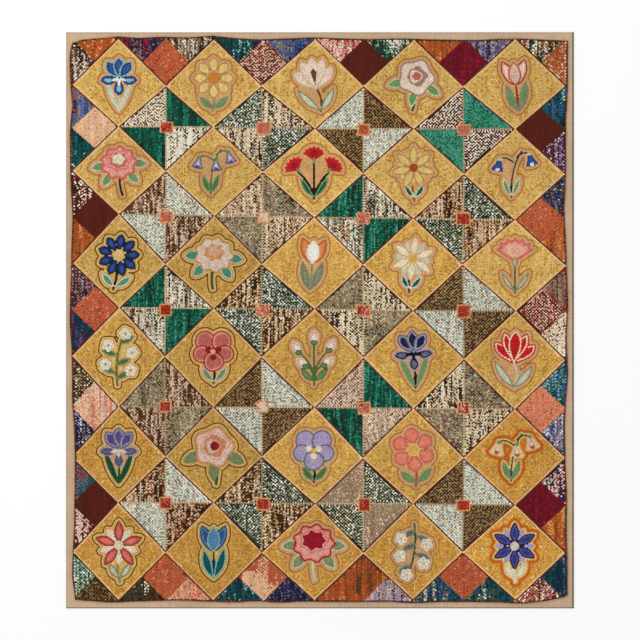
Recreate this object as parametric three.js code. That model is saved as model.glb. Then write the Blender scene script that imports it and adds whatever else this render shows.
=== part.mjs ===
// Hooked wool rug, sewn down on a linen backing cloth and lying flat.
// Millimetres, +Z up. The origin is the middle of the underside.
// The rug's long side runs along Y and its top edge, as the pattern reads, is at +Y.
import * as THREE from 'three';

// ---- driving dimensions ----

// The backing cloth: closely woven linen, its edges turned under into a soft rounded fold.
const LINEN = {
  width: 1650,
  length: 1872,
  thickness: 3,
  foldRadius: 1.2,
  cornerRadius: 2.5,
  foldSteps: 3,
};

// The hooked field: a coarse foundation cloth with wool loops pulled up through it.
const FIELD = {
  clearance: 0.3,
  thickness: 8.2,
  rimThickness: 4.6,
  rimWidth: 12,
  rimStations: [0, 1.5, 5, 12, 32],
  steps: 40,
};

// Long, low swells left in the pile where the foundation was stretched unevenly.
const SWELL = {
  height: 0.45,
  waveAcross: 510,
  waveAlong: 430,
};

// The four corners of the field, as distances from the two nearest edges of the linen.
const CORNERS = {
  topLeft: { side: 21, end: 34 },
  topRight: { side: 20, end: 28 },
  bottomLeft: { side: 29, end: 28 },
  bottomRight: { side: 21, end: 43 },
};

// How the hand-cut edge of the field wanders: the margin of bare linen, `inset`, at a distance
// `at` along each side. The ends run from the left corner and the sides from the top corner.
const TOP_MARGIN = [
  { at: 60, inset: 24 },
  { at: 120, inset: 19 },
  { at: 170, inset: 14 },
  { at: 235, inset: 19 },
  { at: 320, inset: 15 },
  { at: 385, inset: 18 },
  { at: 475, inset: 12 },
  { at: 555, inset: 20 },
  { at: 625, inset: 24 },
  { at: 720, inset: 21 },
  { at: 800, inset: 17 },
  { at: 900, inset: 21 },
  { at: 980, inset: 23 },
  { at: 1085, inset: 21 },
  { at: 1190, inset: 24 },
  { at: 1315, inset: 26 },
  { at: 1460, inset: 21 },
  { at: 1560, inset: 25 },
];
const BOTTOM_MARGIN = [
  { at: 60, inset: 25 },
  { at: 150, inset: 19 },
  { at: 235, inset: 23 },
  { at: 370, inset: 26 },
  { at: 470, inset: 22 },
  { at: 540, inset: 19 },
  { at: 620, inset: 24 },
  { at: 695, inset: 18 },
  { at: 760, inset: 22 },
  { at: 920, inset: 21 },
  { at: 1050, inset: 22 },
  { at: 1125, inset: 17 },
  { at: 1215, inset: 21 },
  { at: 1400, inset: 20 },
  { at: 1475, inset: 16 },
  { at: 1530, inset: 20 },
  { at: 1575, inset: 26 },
  { at: 1612, inset: 35 },
];
const LEFT_MARGIN = [
  { at: 60, inset: 13 },
  { at: 125, inset: 11 },
  { at: 190, inset: 16 },
  { at: 250, inset: 20 },
  { at: 315, inset: 12 },
  { at: 480, inset: 14 },
  { at: 600, inset: 21 },
  { at: 720, inset: 17 },
  { at: 930, inset: 12 },
  { at: 1070, inset: 19 },
  { at: 1195, inset: 20 },
  { at: 1300, inset: 27 },
  { at: 1390, inset: 29 },
  { at: 1560, inset: 27 },
  { at: 1765, inset: 20 },
];
const RIGHT_MARGIN = [
  { at: 160, inset: 20 },
  { at: 300, inset: 26 },
  { at: 450, inset: 26 },
  { at: 580, inset: 31 },
  { at: 740, inset: 24 },
  { at: 900, inset: 19 },
  { at: 1000, inset: 24 },
  { at: 1110, inset: 19 },
  { at: 1200, inset: 26 },
  { at: 1270, inset: 30 },
  { at: 1390, inset: 28 },
  { at: 1510, inset: 23 },
  { at: 1620, inset: 24 },
  { at: 1720, inset: 21 },
];

// ---- colours ----

const LINEN_COLOUR = 0xbda57c;
const PILE_COLOUR = 0xb98a4a;

// ---- the linen backing cloth ----

// A rectangle with small round corners, centred on the origin.
function roundedRectangle(width, length, radius) {
  const x = width / 2;
  const y = length / 2;
  const shape = new THREE.Shape();
  shape.moveTo(-x + radius, -y);
  shape.lineTo(x - radius, -y);
  shape.quadraticCurveTo(x, -y, x, -y + radius);
  shape.lineTo(x, y - radius);
  shape.quadraticCurveTo(x, y, x - radius, y);
  shape.lineTo(-x + radius, y);
  shape.quadraticCurveTo(-x, y, -x, y - radius);
  shape.lineTo(-x, -y + radius);
  shape.quadraticCurveTo(-x, -y, -x + radius, -y);
  return shape;
}

// The cloth is one flat slab whose edge is rounded above and below, as a turned fold is.
function linenGeometry() {
  const { width, length, thickness, foldRadius, cornerRadius, foldSteps } = LINEN;
  const inner = roundedRectangle(width - 2 * foldRadius, length - 2 * foldRadius, cornerRadius);
  const geometry = new THREE.ExtrudeGeometry(inner, {
    depth: thickness - 2 * foldRadius,
    bevelEnabled: true,
    bevelThickness: foldRadius,
    bevelSize: foldRadius,
    bevelSegments: foldSteps,
    curveSegments: foldSteps,
  });
  geometry.translate(0, 0, foldRadius);
  return geometry;
}

// ---- the hooked field ----

// The margin at a distance along one side, eased from each row of its table to the next.
function marginAt(rows, at) {
  const next = rows.findIndex((row) => row.at > at);
  if (next < 0) {
    return rows[rows.length - 1].inset;
  }
  if (next === 0) {
    return rows[0].inset;
  }
  const from = rows[next - 1];
  const to = rows[next];
  const ease = THREE.MathUtils.smoothstep(at, from.at, to.at);
  return THREE.MathUtils.lerp(from.inset, to.inset, ease);
}

// A corner of the field in the object's frame; sideSign is -1 on the left and endSign 1 at the top.
function cornerPoint(corner, sideSign, endSign) {
  return new THREE.Vector2(
    sideSign * (LINEN.width / 2 - corner.side),
    endSign * (LINEN.length / 2 - corner.end),
  );
}

const TOP_LEFT = cornerPoint(CORNERS.topLeft, -1, 1);
const TOP_RIGHT = cornerPoint(CORNERS.topRight, 1, 1);
const BOTTOM_LEFT = cornerPoint(CORNERS.bottomLeft, -1, -1);
const BOTTOM_RIGHT = cornerPoint(CORNERS.bottomRight, 1, -1);

// A margin table with its two corners added as its first and last rows.
function withCorners(rows, first, last) {
  return [first, ...rows, last];
}

const TOP_ROWS = withCorners(
  TOP_MARGIN,
  { at: CORNERS.topLeft.side, inset: CORNERS.topLeft.end },
  { at: LINEN.width - CORNERS.topRight.side, inset: CORNERS.topRight.end },
);
const BOTTOM_ROWS = withCorners(
  BOTTOM_MARGIN,
  { at: CORNERS.bottomLeft.side, inset: CORNERS.bottomLeft.end },
  { at: LINEN.width - CORNERS.bottomRight.side, inset: CORNERS.bottomRight.end },
);
const LEFT_ROWS = withCorners(
  LEFT_MARGIN,
  { at: CORNERS.topLeft.end, inset: CORNERS.topLeft.side },
  { at: LINEN.length - CORNERS.bottomLeft.end, inset: CORNERS.bottomLeft.side },
);
const RIGHT_ROWS = withCorners(
  RIGHT_MARGIN,
  { at: CORNERS.topRight.end, inset: CORNERS.topRight.side },
  { at: LINEN.length - CORNERS.bottomRight.end, inset: CORNERS.bottomRight.side },
);

// A point of the top or bottom edge, u from 0 at the left corner to 1 at the right corner.
function endPoint(u, left, right, rows, endSign) {
  const x = THREE.MathUtils.lerp(left.x, right.x, u);
  const inset = marginAt(rows, x + LINEN.width / 2);
  return new THREE.Vector2(x, endSign * (LINEN.length / 2 - inset));
}

// A point of the left or right edge, v from 0 at the bottom corner to 1 at the top corner.
function sidePoint(v, bottom, top, rows, sideSign) {
  const y = THREE.MathUtils.lerp(bottom.y, top.y, v);
  const inset = marginAt(rows, LINEN.length / 2 - y);
  return new THREE.Vector2(sideSign * (LINEN.width / 2 - inset), y);
}

// The field's plan as a patch stretched between its four wandering edges.
function planPoint(u, v) {
  const bottom = endPoint(u, BOTTOM_LEFT, BOTTOM_RIGHT, BOTTOM_ROWS, -1);
  const top = endPoint(u, TOP_LEFT, TOP_RIGHT, TOP_ROWS, 1);
  const left = sidePoint(v, BOTTOM_LEFT, TOP_LEFT, LEFT_ROWS, -1);
  const right = sidePoint(v, BOTTOM_RIGHT, TOP_RIGHT, RIGHT_ROWS, 1);
  const alongEnds = bottom.lerp(top, v);
  const alongSides = left.lerp(right, u);
  const low = BOTTOM_LEFT.clone().lerp(BOTTOM_RIGHT, u);
  const high = TOP_LEFT.clone().lerp(TOP_RIGHT, u);
  return alongEnds.add(alongSides).sub(low.lerp(high, v));
}

// Even steps from 0 to 1, with finer steps at each end where the rim curves down.
function stations(length) {
  const fine = FIELD.rimStations.map((distance) => distance / length);
  const first = fine[fine.length - 1];
  const even = [];
  for (let step = 1; step < FIELD.steps; step += 1) {
    even.push(THREE.MathUtils.lerp(first, 1 - first, step / FIELD.steps));
  }
  const mirrored = fine.map((station) => 1 - station).reverse();
  return [...fine, ...even, ...mirrored];
}

// The pile's thickness at a distance in from the edge: full height past the rounded rim.
function pileThickness(distance) {
  const reach = Math.min(1, distance / FIELD.rimWidth);
  const round = Math.sqrt(1 - (1 - reach) ** 2);
  return THREE.MathUtils.lerp(FIELD.rimThickness, FIELD.thickness, round);
}

// The low swell of the pile's surface, faded out at the edge.
function swellAt(point, distance) {
  const fade = Math.min(1, distance / (4 * FIELD.rimWidth));
  const across = Math.sin((2 * Math.PI * point.x) / SWELL.waveAcross);
  const along = Math.cos((2 * Math.PI * point.y) / SWELL.waveAlong + point.x / SWELL.waveAcross);
  return SWELL.height * fade * across * along;
}

// A closed slab: an uneven top grid, an upright wall round it and a flat underside.
function fieldGeometry() {
  const width = LINEN.width;
  const length = LINEN.length;
  const base = LINEN.thickness + FIELD.clearance;
  const columns = stations(width);
  const rows = stations(length);
  const positions = [];
  const faces = [];

  for (const v of rows) {
    for (const u of columns) {
      const point = planPoint(u, v);
      const distance = Math.min(u * width, (1 - u) * width, v * length, (1 - v) * length);
      const height = base + pileThickness(distance) + swellAt(point, distance);
      positions.push(point.x, point.y, height);
    }
  }

  const columnCount = columns.length;
  const rowCount = rows.length;
  const topIndex = (column, row) => row * columnCount + column;
  for (let row = 0; row + 1 < rowCount; row += 1) {
    for (let column = 0; column + 1 < columnCount; column += 1) {
      const a = topIndex(column, row);
      const b = topIndex(column + 1, row);
      const c = topIndex(column + 1, row + 1);
      const d = topIndex(column, row + 1);
      faces.push(a, b, c, a, c, d);
    }
  }

  // The rim, counter-clockwise seen from above.
  const rim = [];
  for (let column = 0; column < columnCount - 1; column += 1) {
    rim.push(topIndex(column, 0));
  }
  for (let row = 0; row < rowCount - 1; row += 1) {
    rim.push(topIndex(columnCount - 1, row));
  }
  for (let column = columnCount - 1; column > 0; column -= 1) {
    rim.push(topIndex(column, rowCount - 1));
  }
  for (let row = rowCount - 1; row > 0; row -= 1) {
    rim.push(topIndex(0, row));
  }

  const under = positions.length / 3;
  const rimPlan = rim.map((index) => new THREE.Vector2(positions[3 * index], positions[3 * index + 1]));
  for (const point of rimPlan) {
    positions.push(point.x, point.y, base);
  }
  for (let i = 0; i < rim.length; i += 1) {
    const next = (i + 1) % rim.length;
    faces.push(rim[i], under + i, under + next);
    faces.push(rim[i], under + next, rim[next]);
  }
  for (const [a, b, c] of THREE.ShapeUtils.triangulateShape(rimPlan, [])) {
    faces.push(under + a, under + c, under + b);
  }

  const geometry = new THREE.BufferGeometry();
  geometry.setAttribute('position', new THREE.Float32BufferAttribute(positions, 3));
  geometry.setIndex(faces);
  geometry.computeVertexNormals();
  return geometry;
}

// ---- the rug ----

// A named mesh with its own matt cloth material.
function clothMesh(name, geometry, color, roughness) {
  const material = new THREE.MeshStandardMaterial({ color, roughness, metalness: 0 });
  const mesh = new THREE.Mesh(geometry, material);
  mesh.name = name;
  return mesh;
}

const rug = new THREE.Group();
rug.add(clothMesh('linen_backing', linenGeometry(), LINEN_COLOUR, 0.85));
rug.add(clothMesh('hooked_field', fieldGeometry(), PILE_COLOUR, 0.95));

export default rug;
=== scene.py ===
"""A hand-hooked wool rug: flower diamonds between scrap-yarn pinwheels, on a linen backing cloth.

Plans are drawn in millimetres, with X to the right, Y up the pattern and the origin in the middle
of the rug. Meshes are in metres. A hooked loop is the smallest unit: every row of hooking is a
line of loop centres, and every loop is one low dome of wool with a yarn of its own.
"""
import logging
import math
from dataclasses import dataclass, field
from enum import Enum
from typing import Any, Callable, Optional, Sequence

import bpy
import numpy as np
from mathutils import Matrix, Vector
from mathutils.bvhtree import BVHTree
from mathutils.geometry import delaunay_2d_cdt


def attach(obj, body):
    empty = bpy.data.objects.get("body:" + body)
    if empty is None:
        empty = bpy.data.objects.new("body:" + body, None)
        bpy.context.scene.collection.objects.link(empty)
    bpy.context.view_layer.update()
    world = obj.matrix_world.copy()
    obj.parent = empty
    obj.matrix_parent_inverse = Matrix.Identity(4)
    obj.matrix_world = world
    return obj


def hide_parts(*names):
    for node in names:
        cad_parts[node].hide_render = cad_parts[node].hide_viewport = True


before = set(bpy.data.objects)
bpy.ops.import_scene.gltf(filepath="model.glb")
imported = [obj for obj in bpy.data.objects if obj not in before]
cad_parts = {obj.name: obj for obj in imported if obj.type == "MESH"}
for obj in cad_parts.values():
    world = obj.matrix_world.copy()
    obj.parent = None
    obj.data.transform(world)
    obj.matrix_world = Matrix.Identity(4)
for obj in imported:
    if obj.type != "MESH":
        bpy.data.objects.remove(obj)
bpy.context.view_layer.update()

log = logging.getLogger("rug")

MM = 0.001
SEED = 71
#: Multipliers that scatter whole numbers, the bits kept while doing so, and those of a draw.
SCATTER = (374761393, 668265263, 1274126177)
WORD, DRAW = 0xFFFFFFFF, 0xFFFFFF
Points = np.ndarray


# ---------------- chance and noise


def hash01(a: Points, b: Points, seed: int | Points) -> Points:
    """Give an even random number for each pair of whole numbers.

    Args:
        a: first whole numbers.
        b: second whole numbers.
        seed: number of the set of draws.

    Returns:
        Numbers from 0 up to 1, the same for the same pair and seed.
    """
    n = (a.astype(np.int64) * SCATTER[0] + b.astype(np.int64) * SCATTER[1] + seed * SCATTER[2]) & WORD
    n = ((n ^ (n >> 13)) * SCATTER[2]) & WORD
    return ((n ^ (n >> 16)) & DRAW) / (DRAW + 1.0)


def soft_noise(points: Points, cell_x: float, cell_y: float, seed: int) -> Points:
    """Give smooth noise from 0 to 1.

    Args:
        points: places, in millimetres.
        cell_x: width of one patch of noise.
        cell_y: length of one patch of noise.
        seed: number of the noise.

    Returns:
        One value for each place.
    """
    gx, gy = points[:, 0] / cell_x, points[:, 1] / cell_y
    ix, iy = np.floor(gx), np.floor(gy)
    fx, fy = gx - ix, gy - iy
    fx, fy = fx * fx * (3 - 2 * fx), fy * fy * (3 - 2 * fy)
    low = hash01(ix, iy, seed) * (1 - fx) + hash01(ix + 1, iy, seed) * fx
    high = hash01(ix, iy + 1, seed) * (1 - fx) + hash01(ix + 1, iy + 1, seed) * fx
    return low * (1 - fy) + high * fy


# ---------------- plane geometry


def turned(points: Points, degrees: float) -> Points:
    """Turn points anticlockwise about the origin."""
    c, s = math.cos(math.radians(degrees)), math.sin(math.radians(degrees))
    return points @ np.array([[c, s], [-s, c]])


def edges(outline: Points) -> list[tuple[Points, Points]]:
    """Give the start and end of each side of a closed outline."""
    return list(zip(outline, np.roll(outline, -1, axis=0)))


def resampled(line: Points, pitch: float, closed: bool = False) -> Points:
    """Space points evenly along a line.

    Args:
        line: points of the line.
        pitch: distance wanted between points.
        closed: True where the last point joins the first.

    Returns:
        Points about one pitch apart.
    """
    if closed:
        line = np.vstack([line, line[:1]])
    reach = np.concatenate([[0.0], np.cumsum(np.linalg.norm(np.diff(line, axis=0), axis=1))])
    at = np.linspace(0.0, reach[-1], max(1, int(round(reach[-1] / pitch))) + 1)
    if closed:
        at = at[:-1]
    return np.column_stack([np.interp(at, reach, line[:, 0]), np.interp(at, reach, line[:, 1])])


def inside(points: Points, outline: Points) -> Points:
    """Tell which points lie inside a closed outline.

    Args:
        points: places to test.
        outline: corners of the outline, in order.

    Returns:
        True for each point inside.
    """
    x, y = points[:, 0], points[:, 1]
    odd = np.zeros(len(points), bool)
    for (ax, ay), (bx, by) in edges(outline):
        if ay != by:
            odd ^= ((ay > y) != (by > y)) & (x < ax + (y - ay) / (by - ay) * (bx - ax))
    return odd


def boxed(points: Points, outline: Points, margin: float = 0.0) -> Points:
    """Give the numbers of the points in the box round an outline."""
    low, high = outline.min(axis=0) - margin, outline.max(axis=0) + margin
    return np.flatnonzero(((points >= low) & (points <= high)).all(axis=1))


def lying(points: Points, outline: Points) -> Points:
    """Give the numbers of the points that lie inside an outline."""
    near = boxed(points, outline)
    return near[inside(points[near], outline)]


def signed_distance(points: Points, outline: Points) -> Points:
    """Measure how far points are from a closed outline.

    Args:
        points: places to measure.
        outline: corners of the outline, in order.

    Returns:
        Distances, negative inside.
    """
    edge = np.roll(outline, -1, axis=0) - outline
    rel = points[:, None, :] - outline[None]
    share = np.clip((rel * edge).sum(-1) / np.maximum((edge ** 2).sum(-1), 1e-12), 0.0, 1.0)
    away = rel - share[..., None] * edge
    distance = np.sqrt((away ** 2).sum(-1).min(axis=1))
    return np.where(inside(points, outline), -distance, distance)


def offset_line(outline: Points, distance: float) -> Points:
    """Move each point of a closed anticlockwise outline outwards.

    Args:
        outline: evenly spaced points, in order.
        distance: how far out; negative moves inwards.

    Returns:
        The moved points.
    """
    along = np.roll(outline, -1, axis=0) - np.roll(outline, 1, axis=0)
    along /= np.maximum(np.linalg.norm(along, axis=1, keepdims=True), 1e-9)
    return outline + distance * np.column_stack([along[:, 1], -along[:, 0]])


def anticlockwise(outline: Points) -> Points:
    """Give an outline in anticlockwise order."""
    x, y = outline[:, 0], outline[:, 1]
    return outline if (x * np.roll(y, -1) - np.roll(x, -1) * y).sum() > 0 else outline[::-1]


def level_lines(values: Points, level: float, xs: Points, ys: Points) -> list[Points]:
    """Trace the lines along which a grid of heights has one level.

    Args:
        values: heights, rows along y and columns along x.
        level: the level to trace.
        xs: x of each column.
        ys: y of each row.

    Returns:
        The lines, each a run of points.
    """
    above = values > level
    links: dict[tuple[int, int, int], list[tuple[int, int, int]]] = {}
    mixed = above[:-1, :-1].astype(int) + above[1:, :-1] + above[:-1, 1:] + above[1:, 1:]
    for row, column in np.argwhere((mixed > 0) & (mixed < 4)):
        sides = ((row, column, 0), (row, column + 1, 1), (row + 1, column, 0), (row, column, 1))
        crossed = [(r, c, up) for r, c, up in sides if above[r, c] != above[r + up, c + 1 - up]]
        for one, other in zip(crossed[::2], crossed[1::2]):
            links.setdefault(one, []).append(other)
            links.setdefault(other, []).append(one)

    def place(side: tuple[int, int, int]) -> tuple[float, float]:
        """Find where the level crosses one side of a grid cell, level or upright.

        Args:
            side: row and column of its first end, and 1 where it is upright.

        Returns:
            The place.
        """
        row, column, up = side
        far_row, far_column = row + up, column + 1 - up
        share = (level - values[row, column]) / (values[far_row, far_column] - values[row, column])
        return xs[column] + share * (xs[far_column] - xs[column]), ys[row] + share * (ys[far_row] - ys[row])

    lines, left = [], set(links)
    while left:
        start = step = min(left)
        run = []
        while step is not None:
            run.append(step)
            left.discard(step)
            step = next((s for s in links[step] if s in left), None)
        if len(run) > 3:
            lines.append(np.array([place(side) for side in run + [start]]))
    return lines


# ---------------- yarns


#: Every dyed yarn in the rug, as the eye reads it: red, green and blue from 0 to 255.
YARNS: dict[str, tuple[int, int, int]] = {
    "ink": (32, 28, 30), "black": (42, 28, 20), "charcoal": (86, 72, 58), "bark": (106, 68, 42),
    "walnut": (78, 46, 26), "olive_brown": (92, 66, 34), "tweed_tan": (178, 148, 104),
    "cream": (242, 226, 194), "chalk": (240, 232, 212), "oat": (212, 188, 148), "shell": (230, 192, 168),
    "sand": (222, 182, 126), "tan": (194, 152, 98), "stone": (140, 126, 102), "spruce": (22, 64, 54),
    "bottle": (20, 84, 66), "emerald": (36, 132, 100), "jade": (84, 160, 132), "ice": (212, 210, 188),
    "mint": (168, 192, 172), "teal": (22, 92, 100), "deep_teal": (14, 56, 62), "aqua": (140, 194, 186),
    "denim": (62, 90, 150), "navy": (34, 38, 70), "royal": (30, 68, 138), "slate": (112, 114, 120),
    "lavender": (176, 162, 196), "mauve": (170, 134, 120), "plum": (80, 44, 66), "purple": (98, 78, 146),
    "brick": (166, 58, 38), "red": (190, 42, 34), "scarlet": (214, 30, 34), "crimson": (164, 28, 46),
    "burgundy": (112, 22, 36), "maroon": (98, 33, 24), "rose": (206, 112, 98), "salmon": (232, 142, 108),
    "coral": (244, 122, 110), "pink": (234, 172, 158), "pale_pink": (246, 214, 198),
    "peach": (236, 186, 146), "apricot": (226, 160, 102), "terracotta": (194, 98, 62),
    "rust": (172, 82, 36), "rust_orange": (190, 96, 40), "orange": (222, 134, 48), "gold": (226, 178, 90),
    "honey": (194, 140, 58), "pale_gold": (228, 188, 110), "amber": (226, 166, 76),
    "straw": (234, 202, 126), "yellow": (242, 212, 92), "pale_seam": (208, 182, 138),
    "tan_seam": (184, 158, 118), "outline": (98, 50, 18), "echo": (184, 122, 72),
    "pale_line": (252, 202, 148), "halo": (220, 170, 114), "brown_line": (128, 72, 28),
    "butter": (240, 206, 124), "bracken": (146, 118, 76), "sky": (96, 148, 190), "leaf": (112, 160, 98),
    "pale_leaf": (210, 218, 174), "sage": (142, 150, 112), "moss": (92, 118, 68), "dark_leaf": (44, 92, 66),
    "white": (248, 244, 234),
}


def linear(rgb: Sequence[float]) -> tuple[float, ...]:
    """Turn a colour as the eye reads it, 0 to 255, into linear light."""
    parts = [c / 255 for c in rgb]
    return tuple(c / 12.92 if c <= 0.04045 else ((c + 0.055) / 1.055) ** 2.4 for c in parts)


YARN_NUMBER: dict[str, int] = {name: number for number, name in enumerate(YARNS)}
YARN_LIGHT: Points = np.array([linear(rgb) for rgb in YARNS.values()])


@dataclass
class Loops:
    """Loop centres, the row that each is in, its number along the row, and 1 for every other one."""

    at: Points
    row: Points
    step: Points
    odd: Points

    def some(self, which: Points) -> "Loops":
        """Give some of the loops."""
        return Loops(self.at[which], self.row[which], self.step[which], self.odd[which])


@dataclass(frozen=True)
class Habit:
    """The way in which a worker changes from one yarn to the next.

    Attributes:
        run: length hooked before the yarn is changed, in millimetres.
        rows: rows side by side that share a yarn.
        single: share of loops whose yarn is chosen one by one.
        drift: how far the mix turns darker and lighter from place to place.
        cloud: width and length of one such place.
        streak: how far the dye lightens and darkens along a row.
        check: how far apart in tone neighbouring loops are drawn.
    """

    run: float
    rows: int
    single: float
    drift: float
    cloud: tuple[float, float]
    streak: float
    check: float


class Manner(Enum):
    """How a patch's yarns are hooked together."""

    GROUND = Habit(50, 1, 0.8, 0.4, (12, 40), 0.08, 0.25)
    EVEN = Habit(50, 1, 0.7, 0.4, (9, 60), 0.12, 0.4)
    SHADED = Habit(90, 1, 0.35, 0.8, (9, 90), 0.36, 0.3)
    SPECKLED = Habit(60, 1, 0.5, 0.35, (8, 70), 0.14, 0.8)
    CHECKED = Habit(60, 1, 0.6, 0.25, (8, 80), 0.12, 1.3)
    HEATHER = Habit(40, 1, 0.7, 0.7, (30, 34), 0.16, 0.8)
    STREAKED = Habit(60, 1, 0.3, 0.45, (6, 90), 0.20, 0.4)
    BANDED = Habit(70, 1, 0.3, 0.7, (11, 70), 0.24, 0.3)
    HALVED = Habit(200, 8, 0.1, 0.2, (60, 60), 0.10, 0.1)


@dataclass(frozen=True)
class Mix:
    """Several yarns hooked together in one patch.

    Attributes:
        recipe: yarn names, each with its share, from one end of the mix to the other.
        manner: how they are hooked.
        dye_cell: width and length of one place where the dye lies stronger or weaker.
    """

    recipe: str
    manner: Manner
    dye_cell: tuple[float, float] = (7.0, 85.0)

    def choose(self, loops: Loops, seed: int) -> Points:
        """Choose a yarn for each of the two plies of each loop.

        Args:
            loops: the loops.
            seed: number of the patch's draws.

        Returns:
            The yarns' numbers, a row for each ply.
        """
        habit, words = self.manner.value, self.recipe.split()
        band = np.floor_divide(loops.row, habit.rows)
        shift = hash01(band, band * 0, seed + 5) * habit.run
        strand = hash01(band, np.floor((loops.at[:, 1] + shift) / habit.run), seed)
        alone = hash01(loops.row, loops.step, seed + 23) < habit.single
        cloud = soft_noise(loops.at, *habit.cloud, seed + 31) - 0.5
        own = np.array([hash01(loops.row, loops.step, seed + 11 + ply) for ply in (0, 1)])
        draw = np.where(alone, own, strand) + cloud * habit.drift
        draw = (draw + loops.odd * habit.check) / (1 + habit.check)
        shares = np.cumsum([float(share) for share in words[1::2]])
        numbers = np.array([YARN_NUMBER[name] for name in words[::2]])
        return numbers[np.searchsorted(shares / shares[-1], draw.clip(0, 0.9999), side="right")]

    def strength(self, points: Points, seed: int) -> Points:
        """Give how strongly the dye lies at each loop, about 1."""
        return 1 + (soft_noise(points, *self.dye_cell, seed) - 0.5) * 2 * self.manner.value.streak


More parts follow.
